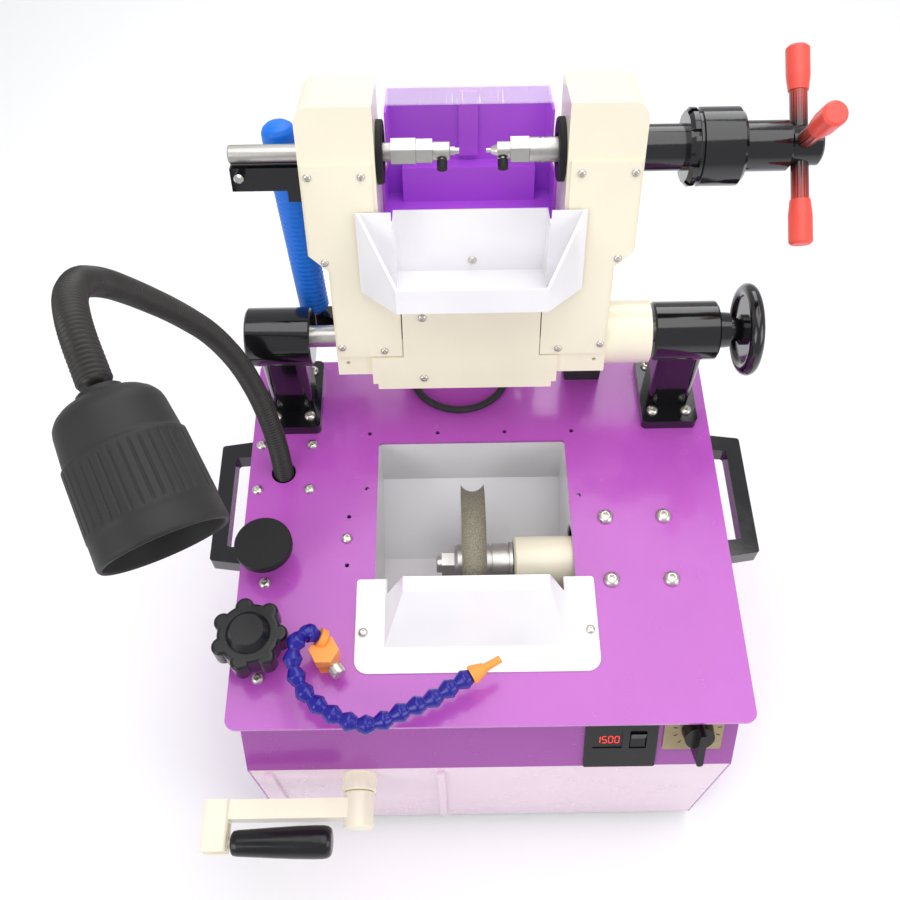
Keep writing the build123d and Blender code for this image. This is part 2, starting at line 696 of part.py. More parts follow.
ARM_START = HUB_START + 6
ARM_T = 17.0
KNUCKLE_OUT = HUB_START + 50
with BuildPart() as crank_arm:
    add(
        turned(
            crank_axis,
            [
                (HUB_START, HUB_R - 1),
                (HUB_START + 1, HUB_R),
                (HUB_START + HUB_L - 1, HUB_R),
                (HUB_START + HUB_L, HUB_R - 1),
            ],
        ).part
    )
    with BuildSketch(crank_axis.offset(ARM_START)):
        with BuildLine():
            Polyline((0, 10), (0, -10), (-CRANK_ARM + 10, -8.5), (-CRANK_ARM + 10, 8.5), close=True)
        make_face()
    extrude(amount=ARM_T)
    with BuildSketch(crank_axis.offset(ARM_START)):
        with Locations((-CRANK_ARM, 0)):
            RectangleRounded(23, 22, 4)
    extrude(amount=KNUCKLE_OUT - ARM_START)
    # A slot through the knuckle takes the folding link.
    with BuildSketch(crank_axis.offset(ARM_START + ARM_T + 2)):
        with Locations((-CRANK_ARM, 0)):
            Rectangle(24, 10 + 2 * CLEAR)
    extrude(amount=KNUCKLE_OUT, mode=Mode.SUBTRACT)
    with BuildSketch(crank_axis):
        Circle(SCREW_R)
    extrude(amount=HUB_START + HUB_L - 3, mode=Mode.SUBTRACT)
    with BuildSketch(level(CRANK_Z - 20)):
        with Locations((CRANK_X - CRANK_ARM, -KNUCKLE_OUT + 8)):
            Circle(3)
    extrude(amount=40, mode=Mode.SUBTRACT)

FOLD_Y = -KNUCKLE_OUT + 8
FOLD_X = CRANK_X - CRANK_ARM
fold_pin = turned(level(CRANK_Z - 11, FOLD_X, FOLD_Y), [(0, 3), (22, 3)])
save_group("crank_arm", crank_arm, fold_pin)
GRIP_L = 90.0
GRIP_GAP = 14.6
with BuildPart() as grip_link:
    with BuildSketch(level(CRANK_Z - 5)):
        with Locations((FOLD_X, FOLD_Y)):
            Circle(7)
            Circle(3 + RUN, mode=Mode.SUBTRACT)
        with Locations((FOLD_X + 8, FOLD_Y)):
            Rectangle(8, 10)
    extrude(amount=10)
    with BuildSketch(side(FOLD_X + 12, FOLD_Y, CRANK_Z)):
        Circle(4)
    extrude(amount=GRIP_L - 6)
save(grip_link, "grip_link")
save(
    turned(
        side(FOLD_X + GRIP_GAP, FOLD_Y, CRANK_Z),
        [
            (0, 9.5),
            (2, 11),
            (20, 12),
            (50, 13.6),
            (75, 14.4),
            (GRIP_L - 4, 14.4),
            (GRIP_L - 1, 13),
            (GRIP_L, 11),
        ],
        4 + RUN,
    ),
    "crank_grip",
)

# -------- depth stop and its knob, left of the well
STOP_POST_R = 6.0
STOP_TOP = DECK_TOP + 35.0
STOP_DISC_R = 25.7
save(
    turned(
        level(0, *DEPTH_STOP),
        [
            (DECK_TOP - 60, STOP_POST_R),
            (STOP_TOP - 9, STOP_POST_R),
            (STOP_TOP - 9, STOP_DISC_R - 1),
            (STOP_TOP - 8, STOP_DISC_R),
            (STOP_TOP - 1, STOP_DISC_R),
            (STOP_TOP, STOP_DISC_R - 1),
        ],
    ),
    "depth_stop",
)
SPROCKET_Z = DECK_LOW - 34
SPROCKET_R = 10.5
stop_nut = turned(
    level(SPROCKET_Z, *DEPTH_STOP),
    [(0, SPROCKET_R), (10, SPROCKET_R), (10, 9), (15.5, 9)],
    STOP_POST_R + RUN,
)
with BuildPart() as stop_mount:
    for post in (DEPTH_KNOB, DEPTH_STOP):
        with BuildSketch(level(DECK_LOW)):
            with Locations((max(post[0], -INNER_X + 15.5), post[1])):
                Rectangle(30, 56)
            with Locations(post):
                Circle(6 + RUN, mode=Mode.SUBTRACT)
            with Locations(*LONE_BOLTS):
                Circle(3 + CLEAR / 2, mode=Mode.SUBTRACT)
        extrude(amount=-18)
LOBES = 7
with BuildPart() as depth_knob:
    with BuildSketch(level(DECK_TOP + 20, *DEPTH_KNOB)):
        Circle(27)
        with PolarLocations(25, LOBES):
            Circle(8)
    extrude(amount=22)
    fillet(depth_knob.edges().group_by(Axis.Z)[-1], radius=3)
    with BuildSketch(level(DECK_TOP + 42, *DEPTH_KNOB)):
        Circle(19)
    with BuildSketch(level(DECK_TOP + 50, *DEPTH_KNOB)):
        Circle(14)
    loft()
    with BuildSketch(level(DECK_TOP + 20, *DEPTH_KNOB)):
        Circle(16)
    extrude(amount=-14)
knob_shaft = turned(
    level(0, *DEPTH_KNOB),
    [(SPROCKET_Z, SPROCKET_R), (SPROCKET_Z + 10, SPROCKET_R), (SPROCKET_Z + 10, 6), (DECK_TOP + 6, 6)],
)
save_group("depth_knob", depth_knob, knob_shaft)
link = Vector(DEPTH_STOP[0] - DEPTH_KNOB[0], DEPTH_STOP[1] - DEPTH_KNOB[1], 0)
along = Plane(origin=(*DEPTH_KNOB, SPROCKET_Z + 1), x_dir=link, z_dir=(0, 0, 1))
stop_belt = belt(along, link.length, SPROCKET_R + 0.3, SPROCKET_R + 0.3, 1.6, 8)
save_group("deck_brackets", slide_pad, stop_mount, stop_nut, stop_belt)

# ---------------------------------------------------------------- panel controls
with BuildPart() as switch_plate:
    with BuildSketch(PANEL):
        with Locations((SWITCH_X, SWITCH_S)):
            RectangleRounded(SWITCH_SIZE, SWITCH_SIZE, 2)
    extrude(amount=2.5)
    with BuildSketch(PANEL.offset(2.5)):
        with Locations((SWITCH_X - 12, SWITCH_S + 2)):
            Rectangle(26, 20)
        with Locations((SWITCH_X + 15, SWITCH_S + 2)):
            Rectangle(15, 21)
    extrude(amount=-2.5, mode=Mode.SUBTRACT)
with BuildPart() as speed_display:
    with BuildSketch(PANEL.offset(1.5)):
        with Locations((SWITCH_X - 12, SWITCH_S + 2)):
            Rectangle(26, 20)
    extrude(amount=-1.5)
    with BuildSketch(PANEL):
        with Locations((SWITCH_X - 12, SWITCH_S + 2)):
            Rectangle(20, 16)
    extrude(amount=-18)
save_group("switch_plate", switch_plate, speed_display)
ROCKER_X = SWITCH_X + 15
ROCKER_S = SWITCH_S + 2
with BuildPart() as power_rocker:
    with BuildSketch(
        Plane(
            origin=PANEL.from_local_coords(Vector(ROCKER_X - 6.5, ROCKER_S, 0)),
            x_dir=PANEL.y_dir,
            z_dir=PANEL.x_dir,
        )
    ):
        with BuildLine():
            Polyline((-9, -2), (-9, 2), (0, 1.4), (9, 4.6), (9, -2), (0, -6), close=True)
        make_face()
    extrude(amount=13)
save(power_rocker, "power_rocker")
with BuildPart() as rotary_plate:
    with BuildSketch(PANEL):
        with Locations((ROTARY_X - 3, ROTARY_S + 2)):
            RectangleRounded(52, 52, 2)
        with Locations((ROTARY_X, ROTARY_S)):
            Circle(8, mode=Mode.SUBTRACT)
    extrude(amount=2)
rotary_axis = Plane(
    origin=PANEL.from_local_coords(Vector(ROTARY_X, ROTARY_S, 0)), x_dir=PANEL.x_dir, z_dir=PANEL.z_dir
)
with BuildPart() as rotary_knob:
    with BuildSketch(rotary_axis.offset(2.4)):
        Circle(14)
    extrude(amount=10, taper=6)
    with BuildSketch(rotary_axis.offset(2.4)):
        with Locations((0, -5)):
            SlotOverall(40, 9, rotation=90)
    extrude(amount=20, taper=4)
    with BuildSketch(rotary_axis.offset(2.4)):
        Circle(3.5)
    extrude(amount=-24)
save(rotary_knob, "rotary_knob")
rotary_switch = turned(rotary_axis, [(-20, 11), (-SHEET - 0.5, 11), (-SHEET - 0.5, 8), (0, 8)], 3.5 + RUN)
save_group("rotary_plate", rotary_plate, rotary_switch)

with BuildPart() as mains_inlet:
    with BuildSketch(Plane(origin=(150, CASE_REAR + 3, 80), x_dir=(-1, 0, 0), z_dir=(0, 1, 0))):
        RectangleRounded(50, 28, 3)
    extrude(amount=-3)
    with BuildSketch(Plane(origin=(150, CASE_REAR, 80), x_dir=(-1, 0, 0), z_dir=(0, 1, 0))):
        Rectangle(28, 21)
    extrude(amount=-22)
    with BuildSketch(Plane(origin=(150, CASE_REAR + 3, 80), x_dir=(-1, 0, 0), z_dir=(0, 1, 0))):
        RectangleRounded(24, 16, 3)
    extrude(amount=-18, mode=Mode.SUBTRACT)
    with BuildSketch(Plane(origin=(150, CASE_REAR - 15, 80), x_dir=(-1, 0, 0), z_dir=(0, 1, 0))):
        with Locations((-7, 0), (0, 2), (7, 0)):
            Rectangle(2, 4)
    extrude(amount=12)
save(mains_inlet, "mains_inlet")

# ---------------------------------------------------------------- carry handles
HANDLE_L = 138.0
HANDLE_OUT = 42.0
HANDLE_Z = DECK_TOP - 32
HANDLE_Y = 50.0
with BuildPart() as carry_handles:
    for hand in (-1, 1):
        wall = Plane(origin=(hand * CASE_W / 2, HANDLE_Y, HANDLE_Z), x_dir=(0, 1, 0), z_dir=(0, 0, 1))
        with BuildSketch(wall.offset(-9)):
            with BuildLine():
                reach = HANDLE_OUT if hand < 0 else -HANDLE_OUT
                inner = reach - 15 * (1 if hand < 0 else -1)
                Polyline(
                    (-HANDLE_L / 2, 0),
                    (-HANDLE_L / 2 + 6, reach),
                    (HANDLE_L / 2 - 6, reach),
                    (HANDLE_L / 2, 0),
                    (HANDLE_L / 2 - 18, 0),
                    (HANDLE_L / 2 - 20, inner),
                    (-HANDLE_L / 2 + 20, inner),
                    (-HANDLE_L / 2 + 18, 0),
                    close=True,
                )
            make_face()
        extrude(amount=18)
    fillet(carry_handles.edges().filter_by(Axis.Z), radius=3)
save(carry_handles, "carry_handles")

# ---------------------------------------------------------------- pedestals and swing shaft


def pedestal(middle_x):
    """A cast pedestal: bolted foot, waisted column and a bored barrel on the swing axis."""
    with BuildPart() as body:
        with BuildSketch(level(DECK_TOP)):
            with Locations((middle_x, PIVOT_Y)):
                RectangleRounded(PEDESTAL_FOOT_W, PEDESTAL_FOOT_D, 5)
        extrude(amount=PEDESTAL_FOOT_T)
        with BuildSketch(level(DECK_TOP + PEDESTAL_FOOT_T)):
            with Locations((middle_x, PIVOT_Y)):
                RectangleRounded(40, 41, 8)
        with BuildSketch(level(PIVOT_Z)):
            with Locations((middle_x, PIVOT_Y)):
                RectangleRounded(40, 40, 8)
        loft()
        with BuildSketch(side(middle_x - PEDESTAL_BARREL_L / 2, PIVOT_Y, PIVOT_Z)):
            Circle(PEDESTAL_BARREL_R)
        extrude(amount=PEDESTAL_BARREL_L)
        chamfer(
            body.edges().filter_by(GeomType.CIRCLE).filter_by(
                lambda edge: edge.radius > PEDESTAL_BARREL_R - 0.1 and edge.length > 100
            ),
            length=1.5,
        )
        with BuildSketch(side(middle_x - PEDESTAL_BARREL_L, PIVOT_Y, PIVOT_Z)):
            Circle(PIVOT_R + RUN)
        extrude(amount=2 * PEDESTAL_BARREL_L, mode=Mode.SUBTRACT)
        with BuildSketch(level(DECK_TOP - 1)):
            with Locations(
                *[(middle_x + bx, PIVOT_Y + by) for bx in (-16.5, 16.5) for by in (-27.0, 27.0)]
            ):
                Circle(3 + CLEAR / 2)
        extrude(amount=PEDESTAL_FOOT_T + 1, mode=Mode.SUBTRACT)
    return body


save(pedestal(-PEDESTAL_X), "left_pedestal")
save(pedestal(PEDESTAL_X), "right_pedestal")
pedestal_bolts = button_screws(
    level(DECK_TOP + PEDESTAL_FOOT_T), PEDESTAL_BOLTS, 5.5, 4.0, 3.0, PEDESTAL_FOOT_T + DECK_T + 4
)
save_group("table_screws", foot_screws, pad_bolts, deck_bolts, rim_bolts, hood_screws, pedestal_bolts)

BARREL_RIGHT = PEDESTAL_X + PEDESTAL_BARREL_L / 2
pivot_axis = side(0, PIVOT_Y, PIVOT_Z)
save(
    turned(
        pivot_axis,
        [(-BARREL_RIGHT + 4, PIVOT_R - 1), (-BARREL_RIGHT + 5, PIVOT_R), (BARREL_RIGHT - 12, PIVOT_R)],
    ),
    "swing_shaft",
)
handwheel_hub = turned(
    pivot_axis.offset(BARREL_RIGHT),
    [(-7, 4), (0.5, 4), (0.5, 17), (12, 16), (12.5, 11), (20, 11), (22, 14), (36, 14), (38, 12)],
)
WHEEL_RIM_R = 36.0
RIM_TUBE = 6.5
with BuildPart() as handwheel:
    rim_plane = Plane(origin=(BARREL_RIGHT + 29, PIVOT_Y, PIVOT_Z), x_dir=(1, 0, 0), z_dir=(0, -1, 0))
    with BuildSketch(rim_plane):
        with Locations((0, WHEEL_RIM_R)):
            Circle(RIM_TUBE)
    revolve(axis=Axis(rim_plane.origin, (1, 0, 0)))
    with BuildSketch(pivot_axis.offset(BARREL_RIGHT + 26)):
        Circle(WHEEL_RIM_R)
        Circle(14, mode=Mode.SUBTRACT)
    extrude(amount=5)
    add(handwheel_hub.part)
save(handwheel, "handwheel")

# ---------------------------------------------------------------- head casting
HEAD_OUTLINE = [
    (-HEAD_HALF_W, HEAD_TOP),
    (-HEAD_GAP_HALF, HEAD_TOP),
    (-HEAD_GAP_HALF, HEAD_GAP_LOW),
    (HEAD_GAP_HALF, HEAD_GAP_LOW),
    (HEAD_GAP_HALF, HEAD_TOP),
    (HEAD_HALF_W, HEAD_TOP),
    (HEAD_HALF_W, 101),
    (HEAD_LOW_HALF_W, 86),
    (HEAD_LOW_HALF_W, HEAD_LOW),
    (-HEAD_LOW_HALF_W, HEAD_LOW),
    (-HEAD_LOW_HALF_W, 86),
    (-HEAD_HALF_W, 101),
]
SLEEVE_L = 42.0
SLEEVE_R = 29.0
COLUMN_MID = 103.5
CAVITY_W = 24.0
CAVITY_BACK = HEAD_BACK - 7
CAVITY_LOW = 16.0
CAVITY_TOP = 206.0
CAVITY_MOUTH = 166.0
CAVITY_MIDDLE = (CAVITY_LOW + CAVITY_MOUTH) / 2
HOUSING_R = 20.0
MOTOR_V = -85.0
MOTOR_SLOT = (60.0, 78.0)
with BuildPart() as head_casting:
    with BuildSketch(HEAD.offset(-HEAD_BACK)):
        with BuildLine():
            Polyline(HEAD_OUTLINE, close=True)
        make_face()
    extrude(amount=HEAD_FRONT + HEAD_BACK)
    outer_edges = head_casting.edges().filter_by(Axis(HEAD.origin, HEAD.z_dir))
    top_edges = outer_edges.filter_by(lambda edge: HEAD.to_local_coords(edge.center()).Y > HEAD_TOP - 1)
    fillet(
        top_edges.filter_by(lambda edge: abs(HEAD.to_local_coords(edge.center()).X) > HEAD_HALF_W - 1),
        14,
    )
    # Pivot sleeve on the right end.
    with BuildSketch(across(HEAD_LOW_HALF_W)):
        Circle(SLEEVE_R)
    extrude(amount=SLEEVE_L)
    # Belt spaces in both columns and across the foot, open at the front.
    with BuildSketch(HEAD.offset(-CAVITY_BACK)):
        with Locations((-COLUMN_MID, CAVITY_MIDDLE), (COLUMN_MID, CAVITY_MIDDLE)):
            Rectangle(CAVITY_W, CAVITY_MOUTH - CAVITY_LOW)
        with Locations((0, (CAVITY_LOW + HEAD_GAP_LOW - HEAD_WALL) / 2)):
            Rectangle(2 * COLUMN_MID, HEAD_GAP_LOW - HEAD_WALL - CAVITY_LOW)
    extrude(amount=CAVITY_BACK + HEAD_FRONT + 1, mode=Mode.SUBTRACT)
    with BuildSketch(HEAD.offset(-CAVITY_BACK)):
        with Locations(
            (-COLUMN_MID, (CAVITY_TOP + CAVITY_MOUTH) / 2),
            (COLUMN_MID, (CAVITY_TOP + CAVITY_MOUTH) / 2),
        ):
            Rectangle(CAVITY_W, CAVITY_TOP - CAVITY_MOUTH + 2)
    extrude(amount=CAVITY_BACK + HEAD_FRONT - 7, mode=Mode.SUBTRACT)
    # Block under the foot that the central plate is screwed to.
    with BuildSketch(HEAD.offset(HEAD_FRONT - 16)):
        with Locations((-6, HEAD_LOW - 5)):
            Rectangle(148, 12)
    extrude(amount=16)
    # The motor belt's slot through the back.
    with BuildSketch(HEAD.offset(-HEAD_BACK - 1)):
        with Locations(((MOTOR_SLOT[0] + MOTOR_SLOT[1]) / 2, (CAVITY_LOW + HEAD_GAP_LOW - HEAD_WALL) / 2)):
            Rectangle(MOTOR_SLOT[1] - MOTOR_SLOT[0], HEAD_GAP_LOW - HEAD_WALL - CAVITY_LOW)
    extrude(amount=HEAD_BACK, mode=Mode.SUBTRACT)
    # Bores for the spindle housings, the cross shaft and the swing shaft.
    with BuildSketch(across(-HEAD_HALF_W - 5, SPINDLE_U)):
        Circle(HOUSING_R)
    extrude(amount=2 * HEAD_HALF_W + 10, mode=Mode.SUBTRACT)
    with BuildSketch(across(-HEAD_LOW_HALF_W - 5, CROSS_U)):
        Circle(CROSS_R + RUN)
    extrude(amount=2 * HEAD_LOW_HALF_W + 10, mode=Mode.SUBTRACT)
    with BuildSketch(across(-HEAD_LOW_HALF_W - 5)):
        Circle(PIVOT_R + RUN)
    extrude(amount=2 * HEAD_LOW_HALF_W + SLEEVE_L + 10, mode=Mode.SUBTRACT)

COVER_INNER = HEAD_GAP_HALF + 3
COVER_LOW_INNER = 61.5
COVER_TOP = 182.0
COVER_LOW = -1.0
COVER_OUTLINE = [
    (-HEAD_HALF_W + 2, COVER_TOP),
    (-COVER_INNER, COVER_TOP),
    (-COVER_INNER, 66),
    (-COVER_LOW_INNER, 54),
    (-COVER_LOW_INNER, COVER_LOW),
    (-HEAD_LOW_HALF_W + 2, COVER_LOW),
    (-HEAD_LOW_HALF_W + 2, 86),
    (-HEAD_HALF_W + 2, 101),
]
left_cover = slab(HEAD.offset(HEAD_FRONT), COVER_OUTLINE, COVER_T)
right_cover = slab(HEAD.offset(HEAD_FRONT), [(-x, u) for x, u in COVER_OUTLINE], COVER_T)
PLATE_HALF = COVER_LOW_INNER - 1
PLATE_LOW = -37.0
central_plate = slab(
    HEAD.offset(HEAD_FRONT),
    [
        (-PLATE_HALF, 54),
        (PLATE_HALF, 54),
        (PLATE_HALF, -2),
        (77.5, -2),
        (77.5, PLATE_LOW + 6),
        (73, PLATE_LOW + 6),
        (73, PLATE_LOW),
        (-85, PLATE_LOW),
        (-85, PLATE_LOW + 6),
        (-89.5, PLATE_LOW + 6),
        (-89.5, -2),
        (-PLATE_HALF, -2),
    ],
    COVER_T + 1,
)
COVER_SCREWS = [(129.5, 172), (87, 172), (87, 133.5), (122.5, 95.5), (82, 83.5), (115, 9), (77.5, 5)]
COVER_SPOTS = [(hand * x, u) for hand in (-1, 1) for x, u in COVER_SCREWS]
PLATE_SPOTS = [(-43, 40), (-43, -25)]
TRAY_SPOTS = [(1.5, 80)]
SCREW_R = 1.6
cover_front = HEAD.offset(HEAD_FRONT + COVER_T)
left_cover = drilled(left_cover, cover_front, COVER_SPOTS, SCREW_R + CLEAR / 2, COVER_T)
right_cover = drilled(right_cover, cover_front, COVER_SPOTS, SCREW_R + CLEAR / 2, COVER_T)
central_plate = drilled(
    central_plate, cover_front.offset(1), PLATE_SPOTS, SCREW_R + CLEAR / 2, COVER_T + 1
)
save_group("head_covers", left_cover, right_cover, central_plate)
head_casting = drilled(head_casting, HEAD.offset(HEAD_FRONT), COVER_SPOTS + PLATE_SPOTS, SCREW_R + RUN, 6)
head_casting = drilled(head_casting, HEAD.offset(HEAD_FRONT), [(-111, -9), (111, -9)], 1.8, 4)
save(head_casting, "head_casting")
cover_screws = button_screws(cover_front, COVER_SPOTS, 3.4, 2.0, SCREW_R, COVER_T + 5)
plate_screws = button_screws(cover_front.offset(1), PLATE_SPOTS, 3.8, 2.2, SCREW_R, COVER_T + 5)

# ---------------------------------------------------------------- spindles and their drive
FLANGE_R = 25.5
FLANGE_T = 5.5
HUB_R = 13.0
PULLEY_R = 18.0
LOW_PULLEY_R = 12.0
BELT_T = 1.8
BELT_W = 10.0
TIP_R = 3.0
SPINDLE_PULLEY_W = 16.0
PULLEY_X = COLUMN_MID - SPINDLE_PULLEY_W / 2
left_housing = turned(
    across(0, SPINDLE_U),
    [
        (-HEAD_GAP_HALF - 12, HOUSING_R),
        (-HEAD_GAP_HALF, HOUSING_R),
        (-HEAD_GAP_HALF, FLANGE_R),
        (-HEAD_GAP_HALF + FLANGE_T - 1, FLANGE_R),
        (-HEAD_GAP_HALF + FLANGE_T, FLANGE_R - 1),
    ],
    BEARING_R,
)
outer_housing = turned(
    across(0, SPINDLE_U), [(-HEAD_HALF_W, HOUSING_R), (-HEAD_HALF_W + 15, HOUSING_R)], BEARING_R
)
right_housing = turned(
    across(0, SPINDLE_U),
    [
        (HEAD_GAP_HALF - FLANGE_T, FLANGE_R - 1),
        (HEAD_GAP_HALF - FLANGE_T + 1, FLANGE_R),
        (HEAD_GAP_HALF, FLANGE_R),
        (HEAD_GAP_HALF, HOUSING_R),
        (HEAD_GAP_HALF + 12, HOUSING_R),
    ],
    HUB_R + RUN,
)
inner_bearing = turned(
    across(-HEAD_GAP_HALF - 10, SPINDLE_U), [(0, BEARING_R), (9, BEARING_R)], SPINDLE_R + RUN
)
outer_bearing = turned(
    across(-HEAD_HALF_W + 3, SPINDLE_U), [(0, BEARING_R), (9, BEARING_R)], SPINDLE_R + RUN
)
save_group("spindle_housings", left_housing, outer_housing, right_housing, inner_bearing, outer_bearing)


def hex_nut(start, length, flats, bore):
    """A hexagon section on the spindle axis, from start towards +X, with a bore."""
    with BuildPart() as nut:
        with BuildSketch(across(start, SPINDLE_U)):
            RegularPolygon(flats / 2, 6, major_radius=False)
            Circle(bore, mode=Mode.SUBTRACT)
        extrude(amount=length)
    return nut


SCREW_LEAN = 53.0


def thumbscrew(middle):
    """A black thumbscrew that stands out of a chuck collar, down and towards the front."""
    root = HEAD.from_local_coords(Vector(middle, SPINDLE_U, 0))
    out = -HEAD.y_dir * cos(radians(SCREW_LEAN)) + HEAD.z_dir * sin(radians(SCREW_LEAN))
    return turned(Plane(origin=root, x_dir=(1, 0, 0), z_dir=out), [(5, 2), (9, 2), (9, 4.2), (16, 4.2)])


left_shaft = turned(
    across(0, SPINDLE_U),
    [
        (-195.3, SPINDLE_R - 1),
        (-194.3, SPINDLE_R),
        (-30, SPINDLE_R),
        (-17, SPINDLE_R),
        (-16.4, SPINDLE_R - 1),
        (-16.4, TIP_R + 0.5),
        (-12.5, TIP_R + 0.5),
        (-12.5, TIP_R - 0.5),
        (-9.1, TIP_R - 0.5),
    ],
)
with BuildPart() as left_arbor:
    add(left_shaft.part)
    add(thumbscrew(-23).part)
left_pulley = flanged_pulley(
    across(-PULLEY_X - SPINDLE_PULLEY_W, SPINDLE_U), PULLEY_R, SPINDLE_PULLEY_W, SPINDLE_R
)
save_group(
    "left_spindle",
    left_arbor,
    hex_nut(-64, 20, 20.0, SPINDLE_R),
    hex_nut(-43.6, 13, 18.5, SPINDLE_R),
    left_pulley,
)

RIGHT_R = 10.0
TAIL_R = 8.0
right_shaft = turned(
    across(0, SPINDLE_U),
    [
        (12.6, 1.8),
        (16.7, 1.8),
        (16.7, 3),
        (21.5, 5),
        (21.5, 7),
        (32, 7),
        (47.3, 7),
        (47.3, RIGHT_R),
        (55.5, RIGHT_R),
        (55.5, RIGHT_R - 0.6),
        (56.5, RIGHT_R - 0.6),
        (56.5, RIGHT_R),
        (60, RIGHT_R),
        (60, RIGHT_R - 0.6),
        (61, RIGHT_R - 0.6),
        (61, RIGHT_R),
        (150, RIGHT_R),
        (150, TAIL_R),
        (180, TAIL_R),
    ],
)
with BuildPart() as right_arbor:
    add(right_shaft.part)
    add(thumbscrew(26).part)
save_group("right_spindle", right_arbor, hex_nut(32, 15, 20.0, 7.0))
hub_tube = turned(
    across(0, SPINDLE_U), [(HEAD_GAP_HALF - 3, HUB_R), (HEAD_HALF_W - 6, HUB_R)], RIGHT_R + RUN
)
right_pulley = flanged_pulley(across(PULLEY_X, SPINDLE_U), PULLEY_R, SPINDLE_PULLEY_W, HUB_R)
save_group("right_pulley", hub_tube, right_pulley)
cross_axis = across(0, CROSS_U)
cross_shaft = turned(cross_axis, [(-HEAD_LOW_HALF_W + 0.5, CROSS_R), (HEAD_LOW_HALF_W - 0.5, CROSS_R)])
DRIVE_X = MOTOR_SLOT[0] + 2
save_group(
    "cross_shaft",
    cross_shaft,
    flanged_pulley(
        across(-PULLEY_X - SPINDLE_PULLEY_W, CROSS_U), LOW_PULLEY_R - 0.6, SPINDLE_PULLEY_W, CROSS_R
    ),
    flanged_pulley(across(PULLEY_X, CROSS_U), LOW_PULLEY_R - 0.6, SPINDLE_PULLEY_W, CROSS_R),
    flanged_pulley(across(DRIVE_X, CROSS_U), LOW_PULLEY_R - 0.6, 14, CROSS_R),
)
spindle_gap = SPINDLE_U - CROSS_U
BELT_X = COLUMN_MID - BELT_W / 2
left_belt = belt(
    Plane(origin=across(-BELT_X - BELT_W, CROSS_U).origin, x_dir=HEAD.y_dir, z_dir=HEAD.x_dir),
    spindle_gap, LOW_PULLEY_R - 0.3, PULLEY_R + 0.3, BELT_T, BELT_W,
)
right_belt = belt(
    Plane(origin=across(BELT_X, CROSS_U).origin, x_dir=HEAD.y_dir, z_dir=HEAD.x_dir),
    spindle_gap, LOW_PULLEY_R - 0.3, PULLEY_R + 0.3, BELT_T, BELT_W,
)
motor_belt = belt(
    Plane(origin=across(DRIVE_X + 2.5, CROSS_U).origin, x_dir=-HEAD.z_dir, z_dir=HEAD.x_dir),
    -MOTOR_V, LOW_PULLEY_R - 0.3, LOW_PULLEY_R - 0.3, BELT_T, 9,
)
save_group("head_belts", left_belt, right_belt, motor_belt)

HEAD_MOTOR_R = 33.0
HEAD_MOTOR_X = (-72.0, 46.0)
head_motor_axis = across(0, CROSS_U, MOTOR_V)
head_motor = turned(
    head_motor_axis,
    [
        (HEAD_MOTOR_X[0], HEAD_MOTOR_R - 5),
        (HEAD_MOTOR_X[0] + 5, HEAD_MOTOR_R),
        (HEAD_MOTOR_X[1] - 3, HEAD_MOTOR_R),
        (HEAD_MOTOR_X[1], HEAD_MOTOR_R - 3),
    ],
    5 + RUN,
)
with BuildPart() as motor_bracket:
    with BuildSketch(across(HEAD_MOTOR_X[1], CROSS_U, MOTOR_V)):
        with Locations((0, (-HEAD_BACK - MOTOR_V - HEAD_MOTOR_R) / 2)):
            Rectangle(2 * HEAD_MOTOR_R, -MOTOR_V - HEAD_BACK + HEAD_MOTOR_R)
        Circle(8, mode=Mode.SUBTRACT)
    extrude(amount=6)
save_group("head_motor", head_motor, motor_bracket)
head_motor_shaft = turned(head_motor_axis, [(0, 5), (DRIVE_X + 15, 5)])
save_group(
    "head_motor_rotor",
    head_motor_shaft,
    flanged_pulley(across(DRIVE_X, CROSS_U, MOTOR_V), LOW_PULLEY_R - 0.6, 14, 5),
)

# -------- tail: barrel, lock ring and three-arm handle
TUBE_R = 18.5
BARREL_R = 20.0
RING_R = 31.0
RING_START = 172.0
RING_END = 217.0
BARREL_END = 256.0
QUILL_R = 13.0
HANDLE_X = 265.0
HANDLE_HUB_R = 16.0
with BuildPart() as tail_barrel:
    add(
        turned(
            across(0, SPINDLE_U),
            [
                (HEAD_LOW_HALF_W - 4, HOUSING_R),
                (HEAD_HALF_W, HOUSING_R),
                (HEAD_HALF_W, TUBE_R),
                (RING_END + 0.3, TUBE_R),
                (RING_END + 0.3, BARREL_R),
                (BARREL_END - 2, BARREL_R),
                (BARREL_END, BARREL_R - 2),
            ],
            QUILL_R + RUN,
        ).part
    )
    with BuildSketch(across(BARREL_END - 4, SPINDLE_U)):
        Circle(QUILL_R + 1)
    extrude(amount=4)
    with BuildSketch(across(BARREL_END - 5, SPINDLE_U)):
        Circle(5 + RUN)
    extrude(amount=6, mode=Mode.SUBTRACT)
save(tail_barrel, "tail_barrel")
quill = turned(
    across(0, SPINDLE_U), [
        (151, QUILL_R - 1), (152, QUILL_R), (231, QUILL_R), (232, QUILL_R - 1)
    ], TAIL_R + RUN
)
save(quill, "tail_quill")
with BuildPart() as lock_ring:
    add(
        turned(
            across(0, SPINDLE_U),
            [
                (RING_START, RING_R - 3),
                (RING_START + 3, RING_R),
                (RING_START + 7, RING_R),
                (RING_START + 8, RING_R - 1.5),
                (RING_START + 10, RING_R - 1.5),
                (RING_START + 11, RING_R),
                (RING_END - 3, RING_R),
                (RING_END, RING_R - 3),
            ],
            TUBE_R + RUN,
        ).part
    )
    with BuildSketch(across(RING_START - 1, SPINDLE_U)):
        with PolarLocations(RING_R, 8):
            Rectangle(7, 6)
    extrude(amount=8, mode=Mode.SUBTRACT)
save(lock_ring, "lock_ring")

